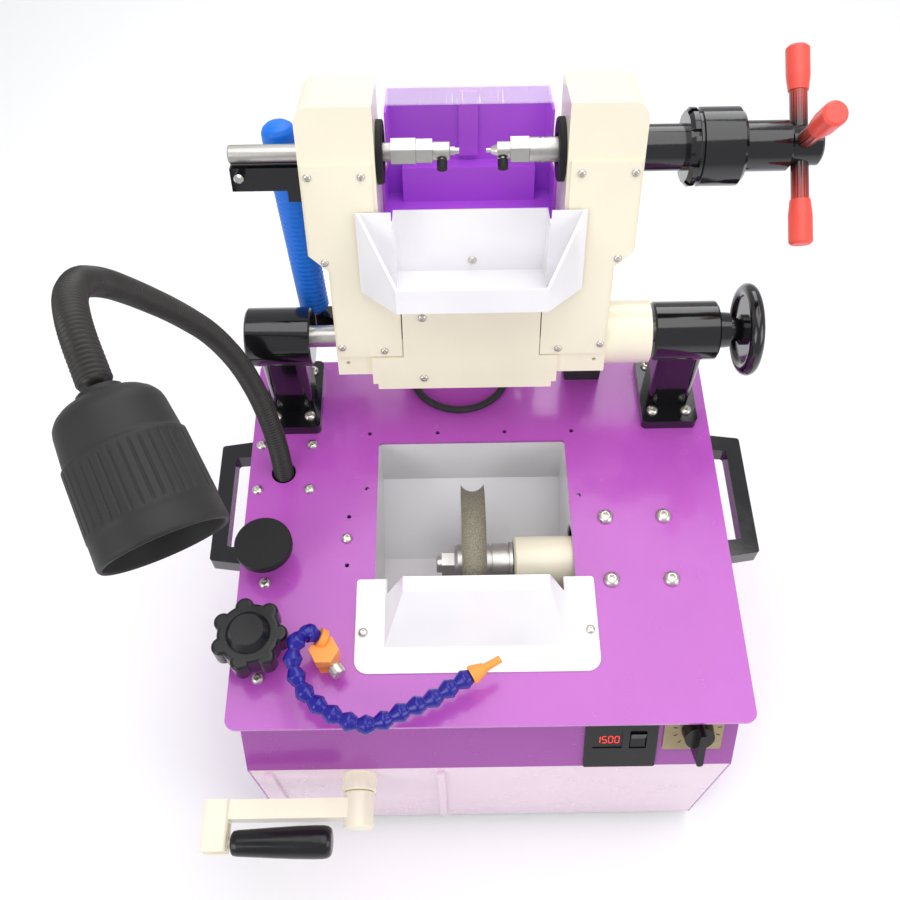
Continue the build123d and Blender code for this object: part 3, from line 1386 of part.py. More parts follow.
HANDLE_ANGLES = (-40.9, 49.1, 139.1)
SPOKE_R = 7.2
RED_GRIP_R = 9.6
SPOKE_L = 80.0
RED_GRIP_L = 36.0
spoke_planes = [
    Plane(
        origin=HEAD.from_local_coords(Vector(HANDLE_X, SPINDLE_U, 0)),
        x_dir=(1, 0, 0),
        z_dir=HEAD.y_dir * cos(radians(angle)) + HEAD.z_dir * sin(radians(angle)),
    )
    for angle in HANDLE_ANGLES
]
hub_profile = [
    (BARREL_END - 4.5, 5),
    (BARREL_END + 0.4, 5),
    (BARREL_END + 0.4, HANDLE_HUB_R),
    (279, HANDLE_HUB_R),
    (281, HANDLE_HUB_R - 2),
]
grip_profile = [
    (SPOKE_L - RED_GRIP_L, 8.2),
    (SPOKE_L - RED_GRIP_L + 12, RED_GRIP_R),
    (SPOKE_L - 2, RED_GRIP_R),
    (SPOKE_L, RED_GRIP_R - 2),
]
with BuildPart() as tail_hub:
    add(turned(across(0, SPINDLE_U), hub_profile).part)
    for spoke_plane in spoke_planes:
        with BuildSketch(spoke_plane):
            Circle(SPOKE_R)
        extrude(amount=SPOKE_L - 6)
red_grips = []
for spoke_plane in spoke_planes:
    with BuildPart() as red_grip:
        add(turned(spoke_plane, grip_profile).part)
        with BuildSketch(spoke_plane):
            Circle(SPOKE_R)
        extrude(amount=SPOKE_L - 6, mode=Mode.SUBTRACT)
    red_grips.append(red_grip)
save_group("tail_handle", tail_hub, *red_grips)

# ---------------------------------------------------------------- stop bracket on the left of the head
STOP_PIN_X = -188.0
STOP_U = 159.3
STOP_END = -195.0
with BuildPart() as stop_bracket:
    with BuildSketch(HEAD.offset(-8)):
        with Locations(((-HEAD_HALF_W + STOP_END) / 2, STOP_U)):
            Rectangle(-HEAD_HALF_W - STOP_END, 20)
        with Locations((-HEAD_HALF_W - 8, STOP_U - 15)):
            Rectangle(12, 10)
        with Locations((STOP_PIN_X + 1, STOP_U + 4.5)):
            Circle(4, mode=Mode.SUBTRACT)
    extrude(amount=16)
pin_plane = Plane(
    origin=HEAD.from_local_coords(
        Vector(STOP_PIN_X + 1, STOP_U + 4.5, 0)
    ), x_dir=(1, 0, 0), z_dir=HEAD.z_dir
)
stop_pin = turned(pin_plane, [(-11, 3), (-10, 4), (15, 4), (17, 2.5)])
save_group("stop_bracket", stop_bracket, stop_pin)

# ---------------------------------------------------------------- splash guards on the head
BOX_FRONT = -HEAD_BACK - 0.5
BOX_BACK = -88.0
BOX_LOW = 97.0
BOX_TOP = 196.0
BOX_HALF = 70.5
BOX_FOOT_HALF = 75.0
BOX_STEP = 150.0
BOX_WALL = 2.0


def box_outline(shrink, lift):
    """The splash box's front outline: a wide foot under a narrower upper part."""
    return [
        (-BOX_FOOT_HALF + shrink, BOX_LOW + shrink),
        (BOX_FOOT_HALF - shrink, BOX_LOW + shrink),
        (BOX_FOOT_HALF - shrink, BOX_STEP - 10),
        (BOX_HALF - shrink, BOX_STEP),
        (BOX_HALF - shrink, BOX_TOP + lift),
        (-BOX_HALF + shrink, BOX_TOP + lift),
        (-BOX_HALF + shrink, BOX_STEP),
        (-BOX_FOOT_HALF + shrink, BOX_STEP - 10),
    ]


with BuildPart() as splash_box:
    with BuildSketch(HEAD.offset(BOX_BACK)):
        with BuildLine():
            Polyline(box_outline(0, 0), close=True)
        make_face()
    extrude(amount=BOX_FRONT - BOX_BACK)
    with BuildSketch(HEAD.offset(BOX_BACK + BOX_WALL)):
        with BuildLine():
            Polyline(box_outline(BOX_WALL, 1), close=True)
        make_face()
    extrude(amount=BOX_FRONT - BOX_BACK, mode=Mode.SUBTRACT)
    # Step along the floor, and the ribbed rail up the back.
    with BuildSketch(HEAD.offset(BOX_BACK + BOX_WALL)):
        with Locations((0, BOX_LOW + 18)):
            Rectangle(118, 32)
    extrude(amount=18)
    with BuildSketch(HEAD.offset(BOX_BACK + BOX_WALL)):
        with Locations((0, 165)):
            Rectangle(17, 58)
    extrude(amount=4)
    with BuildSketch(HEAD.offset(BOX_FRONT - BOX_WALL)):
        with Locations((-BOX_FOOT_HALF - 3, BOX_LOW + 25), (BOX_FOOT_HALF + 3, BOX_LOW + 25)):
            Rectangle(7, 40)
    extrude(amount=BOX_WALL)
save(splash_box, "splash_box")

LID_HALF = BOX_HALF + 2.5
LID_WALL = 1.5
LID_FRONT = -HEAD_BACK - 0.5
LID_BACK = BOX_BACK - 2.5
LID_LOW = BOX_STEP + 2
LID_FRONT_TOP = 203.0
LID_BACK_TOP = 218.0


def lid_profile(shrink, spill):
    """The lid's side outline in the head's height and depth, shrunk in and spilled past its open sides."""
    return [
        (LID_LOW - spill, LID_FRONT + spill),
        (LID_FRONT_TOP - shrink, LID_FRONT + spill),
        (LID_BACK_TOP - shrink, LID_BACK + shrink),
        (LID_LOW - spill, LID_BACK + shrink),
    ]


with BuildPart() as clear_lid:
    with BuildSketch(across(-LID_HALF)):
        with BuildLine():
            Polyline(lid_profile(0, 0), close=True)
        make_face()
    extrude(amount=2 * LID_HALF)
    with BuildSketch(across(-LID_HALF + LID_WALL)):
        with BuildLine():
            Polyline(lid_profile(LID_WALL, 1), close=True)
        make_face()
    extrude(amount=2 * LID_HALF - 2 * LID_WALL, mode=Mode.SUBTRACT)
save(clear_lid, "clear_lid")

TRAY_T = 1.5
TRAY_FLOOR = 68.5
TRAY_TOP = 128.0
TRAY_HALF = 65.0
TRAY_OUT = 70.0
LIP_H = 22.0
EAR_V = HEAD_FRONT + COVER_T + 2.6
EAR_X = 94.0
LIP_X = 62.5
WING_TOP = 142.0
tray_floor = [
    (-TRAY_HALF, 3),
    (TRAY_HALF, 3),
    (TRAY_HALF, EAR_V),
    (EAR_X, EAR_V),
    (LIP_X, TRAY_OUT),
    (-LIP_X, TRAY_OUT),
    (-EAR_X, EAR_V),
    (-TRAY_HALF, EAR_V),
]
tray_plan = Plane(
    origin=HEAD.from_local_coords(Vector(0, TRAY_FLOOR, 0)), x_dir=HEAD.x_dir, z_dir=-HEAD.y_dir
)
with BuildPart() as splash_tray:
    with BuildSketch(tray_plan):
        with BuildLine():
            Polyline(tray_floor, close=True)
        make_face()
    extrude(amount=-TRAY_T)
    # Upright rear sheet between the columns, and the front lip.
    with BuildSketch(HEAD.offset(3)):
        with Locations((0, (TRAY_FLOOR + TRAY_TOP) / 2)):
            Rectangle(2 * TRAY_HALF, TRAY_TOP - TRAY_FLOOR)
    extrude(amount=TRAY_T)
    with BuildSketch(HEAD.offset(TRAY_OUT - TRAY_T)):
        with Locations((0, TRAY_FLOOR + LIP_H / 2)):
            Rectangle(2 * LIP_X, LIP_H)
    extrude(amount=TRAY_T)
    # Slanted side sheets with sloping top edges, and upright sheets along the columns.
    for hand in (-1, 1):
        with BuildSketch(tray_plan):
            with BuildLine():
                Polyline(
                    (hand * LIP_X, TRAY_OUT),
                    (hand * EAR_X, EAR_V),
                    (hand * (EAR_X - 2), EAR_V - 0.6),
                    (hand * (LIP_X - 2), TRAY_OUT - 0.6),
                    close=True,
                )
            make_face()
        extrude(amount=-(WING_TOP - TRAY_FLOOR))
        with BuildSketch(tray_plan):
            with Locations((hand * (EAR_X + TRAY_HALF) / 2, EAR_V)):
                Rectangle(EAR_X - TRAY_HALF, 1.2)
        extrude(amount=-(WING_TOP - TRAY_FLOOR))
        with BuildSketch(tray_plan):
            with Locations((hand * (TRAY_HALF - TRAY_T / 2), (3 + EAR_V) / 2)):
                Rectangle(TRAY_T, EAR_V - 3)
        extrude(amount=-(TRAY_TOP - TRAY_FLOOR))
    # The side sheets' top edges fall from the ears to the lip.
    with BuildSketch(across(-EAR_X - 5)):
        with BuildLine():
            Polyline(
                (TRAY_FLOOR + LIP_H, TRAY_OUT + 5),
                (TRAY_FLOOR + LIP_H, TRAY_OUT - 0.5),
                (WING_TOP, EAR_V + 1.5),
                (WING_TOP + 9, EAR_V + 1.5),
                (WING_TOP + 9, TRAY_OUT + 5),
                close=True,
            )
        make_face()
    extrude(amount=2 * EAR_X + 10, mode=Mode.SUBTRACT)
splash_tray = drilled(splash_tray, HEAD.offset(3 + TRAY_T), TRAY_SPOTS, SCREW_R + CLEAR / 2, TRAY_T)
save(splash_tray, "splash_tray")
tray_screw = button_screws(HEAD.offset(3 + TRAY_T), TRAY_SPOTS, 3.8, 2.2, SCREW_R, TRAY_T + 3)
save_group("head_screws", cover_screws, plate_screws, tray_screw)

# -------- swing handle behind the head's left column
BAR_LOW = Vector(-146.5, -24, -52)
BAR_TOP = Vector(-162.5, 183, -52)
BAR_R = 15.0
BAR_CORE_R = 7.0
BAR_GRIP_START = 22.0
bar_run = HEAD.from_local_coords(BAR_TOP) - HEAD.from_local_coords(BAR_LOW)
bar_plane = Plane(origin=HEAD.from_local_coords(BAR_LOW), x_dir=HEAD.z_dir, z_dir=bar_run)
BAR_L = bar_run.length
LUG_LOW = -20.0
LUG_T = 14.0
with BuildPart() as bar_core:
    add(turned(bar_plane, [(0, BAR_CORE_R), (BAR_L - 9, BAR_CORE_R)]).part)
    with BuildSketch(
        Plane(origin=HEAD.from_local_coords(Vector(0, LUG_LOW, 0)), x_dir=HEAD.x_dir, z_dir=HEAD.y_dir)
    ):
        with BuildLine():
            Polyline((-147, 44), (-147, 60), (-112, 60), (-100, HEAD_BACK), (-118, HEAD_BACK), close=True)
        make_face()
    extrude(amount=LUG_T)
bar_grip = turned(
    bar_plane,
    [
        (BAR_GRIP_START, BAR_R - 3),
        (BAR_GRIP_START + 3, BAR_R - 1),
        (BAR_L - 12, BAR_R),
        (BAR_L - 4, BAR_R - 3),
        (BAR_L, BAR_R - 9),
    ],
)
with BuildPart() as bar_sleeve:
    add(bar_grip.part)
    add(bar_core.part, mode=Mode.SUBTRACT)
save_group("swing_handle", bar_core, bar_sleeve)

# ---------------------------------------------------------------- lamp on its gooseneck
LAMP_ROUTE = [
    (-192, 68, 290),
    (-193, 78, 336),
    (-201, 93, 384),
    (-211, 97, 434),
    (-224, 90, 486),
    (-239, 70, 540),
    (-250, 41, 596),
    (-249, 4, 651),
    (-243, -35, 697),
    (-234, -68, 722),
    (-222, -98, 732),
    (-207, -130, 729),
]


def bend_radii(route, share=0.45):
    """Each corner's arc radius: share of its shorter run over the tangent of half its turn."""
    points = [Vector(*point) for point in route]
    radii = []
    for before, corner, after in zip(points, points[1:], points[2:]):
        first = corner - before
        second = after - corner
        half_turn = radians(first.get_angle(second)) / 2
        radii.append(share * min(first.length, second.length) / tan(half_turn))
    return radii


def tube(route, radius, bore=0.0):
    """A tube of straight runs and tangent arcs along a route."""
    radii = bend_radii(route)
    print("bend radii", [round(value) for value in radii])
    with BuildPart() as piece:
        with BuildLine() as line:
            FilletPolyline(*route, radius=radii)
        with BuildSketch(Plane(origin=route[0], z_dir=line.line % 0)):
            Circle(radius)
        sweep()
    length = sum(edge.length for edge in line.edges())
    ratio = piece.part.volume / (pi * radius**2 * length)
    print("tube length", round(length, 1), "volume over section times length", round(ratio, 4))
    return piece


save(tube(LAMP_ROUTE, NECK_R), "gooseneck")
LAMP_AIM = Vector(0.415, -0.837, -0.35).normalized()
LAMP_L = 90.0
LAMP_RECESS = 32.0
LAMP_R = 34.0
LAMP_THROAT_R = 31.0
lamp_plane = Plane(origin=LAMP_ROUTE[-1], x_dir=(0.9, 0.44, 0), z_dir=LAMP_AIM)
lamp_shell = turned(
    lamp_plane,
    [
        (3.4, 12),
        (7, 12),
        (8, 18),
        (16, 28),
        (20, 29),
        (38, 31),
        (40, 32),
        (LAMP_L - 14, 33.5),
        (LAMP_L - 12, LAMP_R),
        (LAMP_L, LAMP_R),
    ],
)
with BuildPart() as lamp_head:
    add(lamp_shell.part)
    with BuildSketch(lamp_plane.offset(LAMP_L - LAMP_RECESS)):
        Circle(24)
    with BuildSketch(lamp_plane.offset(LAMP_L)):
        Circle(LAMP_THROAT_R)
    loft(mode=Mode.SUBTRACT)
lamp_lens = turned(lamp_plane, [(LAMP_L - LAMP_RECESS, 22), (LAMP_L - LAMP_RECESS + 4, 22)])
save_group("lamp_head", lamp_head, lamp_lens)

# ---------------------------------------------------------------- coolant valve, hose and nozzle
HOSE_ROUTE = [
    (-145, -112, 326),
    (-155, -109, 332),
    (-163, -119, 334),
    (-165, -134, 332),
    (-161, -148, 327),
    (-153, -161, 323),
    (-139, -172, 320),
    (-122, -181, 318),
    (-104, -186, 318),
    (-87, -182, 319),
    (-70, -174, 321),
    (-50, -167, 322),
    (-33, -157, 325),
    (-16, -148, 327),
]
HOSE_R = 7.6
coolant_hose = tube(HOSE_ROUTE, HOSE_R)
save(coolant_hose, "coolant_hose")
nozzle_dir = Vector(*HOSE_ROUTE[-1]) - Vector(*HOSE_ROUTE[-2])
nozzle_plane = Plane(origin=HOSE_ROUTE[-1], z_dir=nozzle_dir)
nozzle = turned(nozzle_plane, [(0, 8), (3, 8), (12, 5), (14, 3.6), (28, 3.2)], 1.6)
hose_start = Plane(origin=HOSE_ROUTE[0], z_dir=Vector(*HOSE_ROUTE[0]) - Vector(*HOSE_ROUTE[1]))
with BuildPart() as valve_body:
    with BuildSketch(level(DECK_TOP, *VALVE)):
        RegularPolygon(11, 6)
    extrude(amount=6)
    with BuildSketch(level(DECK_TOP + 6, *VALVE)):
        Circle(9)
    extrude(amount=20)
    with BuildSketch(level(DECK_TOP, *VALVE)):
        Circle(5)
    extrude(amount=-DECK_T - 8)
    with BuildSketch(level(DECK_TOP + 32, *VALVE)):
        RegularPolygon(13, 6)
    extrude(amount=-14)
    with BuildSketch(hose_start):
        Circle(8.5)
    extrude(amount=6)
    add(coolant_hose.part, mode=Mode.SUBTRACT)
    with BuildSketch(
        Plane(origin=(VALVE[0], VALVE[1], DECK_TOP + 18), x_dir=(0, 0, 1), z_dir=(0.6, -0.8, 0))
    ):
        Circle(4.3)
    extrude(amount=14, mode=Mode.SUBTRACT)
save_group("hose_fittings", valve_body, nozzle)
save(
    turned(
        Plane(origin=(VALVE[0], VALVE[1], DECK_TOP + 18), x_dir=(0, 0, 1), z_dir=(0.6, -0.8, 0)),
        [(0.5, 4.2), (14, 4.2), (14, 6.5), (21, 6.5), (22, 5.5)],
    ),
    "valve_stem",
)

# -------- cable loop under the head, and rubber pieces
CABLE_Z = DECK_TOP + 3.8
CABLE_R = 3.5
CABLE_ROUTE = [
    (-68.5, 185, CABLE_Z),
    (-68.5, 172, CABLE_Z),
    (-59, 152, CABLE_Z),
    (-42, 139, CABLE_Z),
    (-20.5, 134, CABLE_Z),
    (1, 139, CABLE_Z),
    (18, 152, CABLE_Z),
    (27.5, 172, CABLE_Z),
    (27.5, 185, CABLE_Z),
]
save(tube(CABLE_ROUTE, CABLE_R), "head_cable")
REST_H = 72.0
with BuildPart() as rubber_buffers:
    add(rubber_feet.part)
with BuildPart() as head_rest:
    with BuildSketch(level(DECK_TOP)):
        with Locations((104, 183)):
            RectangleRounded(36, 22, 3)
    extrude(amount=REST_H)
with BuildPart() as cable_glands:
    for gland_x in (CABLE_ROUTE[0][0], CABLE_ROUTE[-1][0]):
        with BuildSketch(level(DECK_TOP)):
            with Locations((gland_x, CABLE_ROUTE[0][1] + 6.5)):
                RectangleRounded(13, 13, 2)
        extrude(amount=12)
save_group("rubber_buffers", rubber_buffers, head_rest, cable_glands)
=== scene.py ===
# %% [markdown]
# A bench grinding machine for stone beads: a purple case with a table, a grooved wheel in a well, and a cream
# head that swings over it. The solid parts arrive as a finished frame. This notebook gives each one its
# finish, and makes the few pieces whose surface is finer than a machined solid: the flexible lamp neck, the
# jointed coolant hose, the lamp's ribbed shell, the ribbed lever grip, a cable and the dials.

from math import cos, pi, radians, sin, tau

import bpy
import numpy as np
from mathutils import Matrix, Vector


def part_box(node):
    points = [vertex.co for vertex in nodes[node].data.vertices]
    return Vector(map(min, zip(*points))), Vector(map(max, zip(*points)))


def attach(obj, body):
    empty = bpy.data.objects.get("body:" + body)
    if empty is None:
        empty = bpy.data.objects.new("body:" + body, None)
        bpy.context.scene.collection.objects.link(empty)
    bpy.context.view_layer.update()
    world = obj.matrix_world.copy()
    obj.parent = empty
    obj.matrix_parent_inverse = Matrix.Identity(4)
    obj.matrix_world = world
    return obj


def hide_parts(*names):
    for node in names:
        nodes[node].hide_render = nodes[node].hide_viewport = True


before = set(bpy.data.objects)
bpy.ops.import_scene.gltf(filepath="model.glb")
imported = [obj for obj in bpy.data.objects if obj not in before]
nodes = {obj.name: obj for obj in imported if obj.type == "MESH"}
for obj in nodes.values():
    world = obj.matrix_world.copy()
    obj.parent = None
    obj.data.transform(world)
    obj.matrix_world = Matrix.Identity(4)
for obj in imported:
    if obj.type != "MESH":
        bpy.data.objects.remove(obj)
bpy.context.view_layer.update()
MM = 0.001

# %% [markdown]
# The camera stands above the front edge and looks down at about 59 degrees, as one looks at a machine on a
# low bench. Its direction comes from a heading, a downward tilt and a small roll, so each can be read and
# changed by itself. The Standard view keeps the paint's strong colours and lets the white ground stay white.

# %% Camera
CAMERA_AT = Vector((-28.75, -423.58, 1146.57)) * MM
HEADING = -0.00448
TILT_DOWN = 1.02798
ROLL = -0.01925
LENS = 40.706


def look_matrix(place, heading, tilt, roll):
    """Rotation whose columns are right, up and back. Forward leans down by tilt from the heading."""
    forward = Vector((sin(heading) * cos(tilt), cos(heading) * cos(tilt), -sin(tilt)))
    level_right = Vector((cos(heading), -sin(heading), 0))
    level_up = level_right.cross(forward)
    right = cos(roll) * level_right + sin(roll) * level_up
    up = cos(roll) * level_up - sin(roll) * level_right
    turn = Matrix((right, up, -forward)).transposed().to_4x4()
    return Matrix.Translation(place) @ turn


camera_data = bpy.data.cameras.new("camera")
camera_data.lens = LENS
camera_data.sensor_width = 36
camera_data.clip_start = 0.01
camera = bpy.data.objects.new("camera", camera_data)
camera.matrix_world = look_matrix(CAMERA_AT, HEADING, TILT_DOWN, ROLL)
bpy.context.scene.collection.objects.link(camera)
bpy.context.scene.camera = camera
bpy.context.scene.view_settings.view_transform = "Standard"
print("camera", [round(value, 3) for value in camera.location], "lens", LENS)

# %% [markdown]
# Soft studio light: a wide panel overhead, one on each side in front, one behind for the edges, and a pale
# world that fills the shadows. Gloss paint shows what is around it, so the panels are
# large, and their edges fall softly.

# %% Light and floor
LIGHTS = [
    ("overhead", (0.15, 0.15, 1.9), (0, 0, 0.3), 1.6, 17),
    ("front_left", (-1.3, -1.2, 1.3), (0, 0, 0.3), 1.1, 12),
    ("front_right", (1.4, -0.7, 1.0), (0, 0, 0.35), 0.9, 7),
    ("behind", (0.2, 1.5, 1.5), (0, 0, 0.4), 1.0, 9),
]
for name, place, aim, size, power in LIGHTS:
    light = bpy.data.lights.new(name, "AREA")
    light.energy = power
    light.size = size
    lamp = bpy.data.objects.new(name, light)
    lamp.location = place
    lamp.rotation_euler = (Vector(aim) - Vector(place)).to_track_quat("-Z", "Y").to_euler()
    bpy.context.scene.collection.objects.link(lamp)
world = bpy.data.worlds.new("studio")
bpy.context.scene.world = world
world.use_nodes = True
world.node_tree.nodes["Background"].inputs["Color"].default_value = (0.96, 0.97, 1.0, 1)
world.node_tree.nodes["Background"].inputs["Strength"].default_value = 0.58
print(len(LIGHTS), "panels,", sum(entry[4] for entry in LIGHTS), "watts")

# %% [markdown]
# Shader maths reads best as ordinary expressions. A small class wraps a node's output, and its operators add
# Math nodes, so 0.3 + 0.1 * noise is written just so. The Look class starts a material with one shader and
# adds any other node from its type, its settings and its inputs. Only the operators in use are there.


# %% Shader helpers
class Wire:
    """A node's output. Arithmetic on it adds Math nodes to the same material."""

    def __init__(self, look, socket):
        self.look = look
        self.socket = socket

    def maths(self, operation, first, second):
        return self.look.node("ShaderNodeMath", {"operation": operation}, {0: first, 1: second})

    def __add__(self, other):
        return self.maths("ADD", self, other)

    def __sub__(self, other):
        return self.maths("SUBTRACT", self, other)

    def __rsub__(self, other):
        return self.maths("SUBTRACT", other, self)

    def __mul__(self, other):
        return self.maths("MULTIPLY", self, other)

    def __pow__(self, other):
        return self.maths("POWER", self, other)

    __radd__ = __add__
    __rmul__ = __mul__


class Look:
    """A material with one main shader. Plain numbers go on its sockets, and Wires are linked."""

    def __init__(self, name, **sockets):
        self.material = bpy.data.materials.new(name)
        self.material.use_nodes = True
        self.tree = self.material.node_tree
        self.shader = self.tree.nodes["Principled BSDF"]
        self.set(**sockets)

    def put(self, socket, value):
        if isinstance(value, Wire):
            self.tree.links.new(value.socket, socket)
        elif isinstance(value, tuple) and len(value) == 3 and socket.type == "RGBA":
            socket.default_value = (*value, 1)
        else:
            socket.default_value = value

    def set(self, **sockets):
        for key, value in sockets.items():
            self.put(self.shader.inputs[key.replace("_", " ")], value)
        return self

    def node(self, kind, settings=None, inputs=None, output=0):
        made = self.tree.nodes.new(kind)
        for key, value in (settings or {}).items():
            if key == "stops":
                ramp = made.color_ramp
                while len(ramp.elements) < len(value):
                    ramp.elements.new(0.5)
                for element, (place, colour) in zip(ramp.elements, value):
                    element.position = place
                    element.color = (*colour, 1)
            else:
                setattr(made, key, value)
        for key, value in (inputs or {}).items():
            self.put(made.inputs[key], value)
        return Wire(self, made.outputs[output])

    def place(self, centre=(0, 0, 0), turn=(0, 0, 0)):
        """Object coordinates in metres, moved so that centre is zero and then turned."""
        spot = self.node("ShaderNodeTexCoord", output="Object")
        spot = self.node("ShaderNodeVectorMath", {"operation": "SUBTRACT"}, {0: spot, 1: centre})
        return self.node("ShaderNodeMapping", None, {"Vector": spot, "Rotation": turn})

    def parts(self, vector):
        split = self.node("ShaderNodeSeparateXYZ", None, {0: vector})
        outputs = split.socket.node.outputs
        return [Wire(self, outputs[index]) for index in range(3)]

    def noise(self, scale, detail=2.0, where=None, rough=0.5):
        where = where or self.place()
        return self.node(
            "ShaderNodeTexNoise", None, {
                "Vector": where, "Scale": scale, "Detail": detail, "Roughness": rough
            }
        )

    def clamp(self, value, low, high, new_low=0.0, new_high=1.0):
        return self.node(
            "ShaderNodeMapRange",
            {"clamp": True},
            {"Value": value, "From Min": low, "From Max": high, "To Min": new_low, "To Max": new_high},
        )

    def blend(self, factor, first, second):
        made = self.tree.nodes.new("ShaderNodeMix")
        made.data_type = "RGBA"
        self.put(made.inputs[0], factor)
        self.put(made.inputs[6], first)
        self.put(made.inputs[7], second)
        return Wire(self, made.outputs[2])

    def bump(self, height, distance, strength=1.0):
        bumped = self.node(
            "ShaderNodeBump", None, {"Height": height, "Distance": distance, "Strength": strength}
        )
        return self.set(Normal=bumped)


def shade(colour, factor):
    """A colour made darker or lighter by a factor."""
    return tuple(min(1.0, channel * factor) for channel in colour)


print("shader helpers ready")

# %% [markdown]
# Stove enamel on sheet steel is glossy but never flat: it has a slight orange peel a few millimetres across,
# a faint drift in tone, and a bloom of fingerprints that changes only the roughness. All the painted pieces
# share one recipe with their own colour and gloss. Two layers of noise make the peel and the smudges.


# %% Paint
def paint(name, colour, roughness=0.22, peel=0.00006, coat=0.35):
    look = Look(name, Coat_Weight=coat, Coat_Roughness=0.08, IOR=1.5)
    drift = look.noise(9, 3)
    smudge = look.clamp(look.noise(38, 5, rough=0.62), 0.45, 0.75)
    grain = look.noise(420, 2)
    base = look.blend(look.clamp(drift, 0.3, 0.7), shade(colour, 0.95), shade(colour, 1.04))
    speck = look.clamp(look.noise(1500, 1), 0.72, 0.78)
    look.set(Base_Color=look.blend(speck * 0.25, base, shade(colour, 0.75)))
    look.set(Roughness=roughness + 0.1 * smudge)
    look.bump(grain, peel)
    return look


CREAM = (0.90, 0.84, 0.66)
# The deck's purple is the case's purple made about 1.4 times lighter: a painted highlight for the light its
# upward face catches.
LIT_PURPLE = (0.47, 0.085, 0.50)
PURPLE = (0.33, 0.055, 0.35)
VIOLET = (0.54, 0.11, 0.84)
# Pale lilac for the front below the fold: a painted reflection of the white floor, not a second paint.
PAINTED_REFLECTION_LILAC = (0.78, 0.58, 0.71)
WHITE = (0.88, 0.87, 0.89)

cream_paint = paint("cream_paint", CREAM, 0.30)
orchid_paint = paint("orchid_paint", LIT_PURPLE, 0.20)
purple_paint = paint("purple_paint", PURPLE, 0.24)
violet_paint = paint("violet_paint", VIOLET, 0.3)
white_paint = paint("white_paint", WHITE, 0.28)
gloss_black = paint("gloss_black", (0.005, 0.005, 0.006), 0.1, 0.00004, 0.4)
dark_casting = paint("dark_casting", (0.03, 0.032, 0.035), 0.45, 0.0002, 0.1)
print("paints", CREAM, LIT_PURPLE, PURPLE)

# %% [markdown]
# The front sheet is one purple paint, the deeper purple of the sloping panel. Below the fold a pale lilac is
# painted in as a painted reflection of the white floor. One material does both: the height of the point
# decides, with a step a millimetre wide at the fold.

# %% Front with painted reflection
FOLD_HEIGHT = 0.213


def purple_with_painted_reflection():
    look = paint("front_paint", PURPLE, 0.22)
    height = look.parts(look.place())[2]
    upper = look.clamp(height, FOLD_HEIGHT - 0.0005, FOLD_HEIGHT + 0.0005)
    drift = look.clamp(look.noise(7, 3), 0.3, 0.7)
    # Painted reflection: below the fold the purple gives way to pale lilac, standing for the white floor it
    # mirrors.
    painted_reflection = look.blend(drift, shade(PAINTED_REFLECTION_LILAC, 0.96), shade(PAINTED_REFLECTION_LILAC, 1.04))
    deep = look.blend(drift, shade(PURPLE, 0.95), shade(PURPLE, 1.05))
    return look.set(Base_Color=look.blend(upper, painted_reflection, deep))


front_paint = purple_with_painted_reflection()
print("fold at", FOLD_HEIGHT, "m")

# %% [markdown]
# Turned and ground steel has fine rings from the tool that run round the axis. On a shaft they are a pattern
# along its length, so noise is stretched: very fine along one axis, and long across the others. A second,
# slower noise dulls the shine in patches, as oil and handling do.


# %% Metals
def turned_metal(name, colour, roughness=0.25, ring_axis=0, ring=2600, tint=0.12):
    look = Look(name, Metallic=1.0)
    stretch = [30.0, 30.0, 30.0]
    stretch[ring_axis] = float(ring)
    rings_at = look.node("ShaderNodeMapping", None, {"Vector": look.place(), "Scale": tuple(stretch)})
    rings = look.noise(1.0, 2, rings_at)
    patches = look.clamp(look.noise(45, 4), 0.35, 0.7)
    look.set(Base_Color=look.blend(patches * tint * 4, colour, shade(colour, 0.72)))
    look.set(Roughness=roughness + 0.12 * rings + 0.12 * patches)
    look.bump(rings, 0.00003)
    return look


steel = turned_metal("turned_steel", (0.60, 0.58, 0.55))
bright_steel = turned_metal("bright_steel", (0.78, 0.77, 0.75), 0.12)
screw_metal = turned_metal("screw_metal", (0.72, 0.69, 0.63), 0.2, 2)
galvanised = turned_metal("galvanised", (0.55, 0.56, 0.57), 0.38, 1, 300)
tan_plate = turned_metal("tan_plate", (0.42, 0.34, 0.21), 0.35, 0, 1800)
print("metals ready")

# %% [markdown]
# Moulded plastic and rubber are told apart by their grain and shine. Gloss plastic has faint moulding waves,
# matte plastic a fine spark-eroded grain, and rubber a soft coarser one with a little dust in it.


# %% Plastics
def plastic(name, colour, roughness, grain=1400, depth=0.00003, dust=0.12, shine=0.5):
    look = Look(name, IOR=1.49, Specular_IOR_Level=shine)
    fine = look.noise(grain, 3)
    drift = look.clamp(look.noise(26, 4), 0.4, 0.75)
    look.set(Base_Color=look.blend(drift * dust, colour, shade(tuple(c + 0.05 for c in colour), 1.15)))
    look.set(Roughness=roughness + 0.14 * drift)
    look.bump(fine, depth)
    return look


black_plastic = plastic("black_plastic", (0.008, 0.008, 0.009), 0.16, dust=0.05, shine=0.4)
matte_black = plastic("matte_black", (0.012, 0.011, 0.011), 0.5, 2200, 0.00005, 0.06, 0.25)
rubber = plastic("rubber", (0.016, 0.016, 0.016), 0.62, 900, 0.0001, 0.25)
red_plastic = plastic("red_plastic", (0.84, 0.085, 0.06), 0.34)
lever_blue = plastic("lever_blue", (0.0, 0.17, 0.78), 0.42, 1600)
hose_blue = plastic("hose_blue", (0.010, 0.006, 0.26), 0.2, dust=0.05)
orange_plastic = plastic("orange_plastic", (0.95, 0.33, 0.05), 0.34)
lamp_black = plastic("lamp_black", (0.022, 0.022, 0.021), 0.5, 1800, 0.00004, 0.08, 0.28)
print("plastics ready")

# %% [markdown]
# The lid is clear sheet with a faint warm edge and a few hairline scratches. Glass-like transmission costs
# much light in a small scene, so the sheet is mostly see-through with a glossy skin on top.


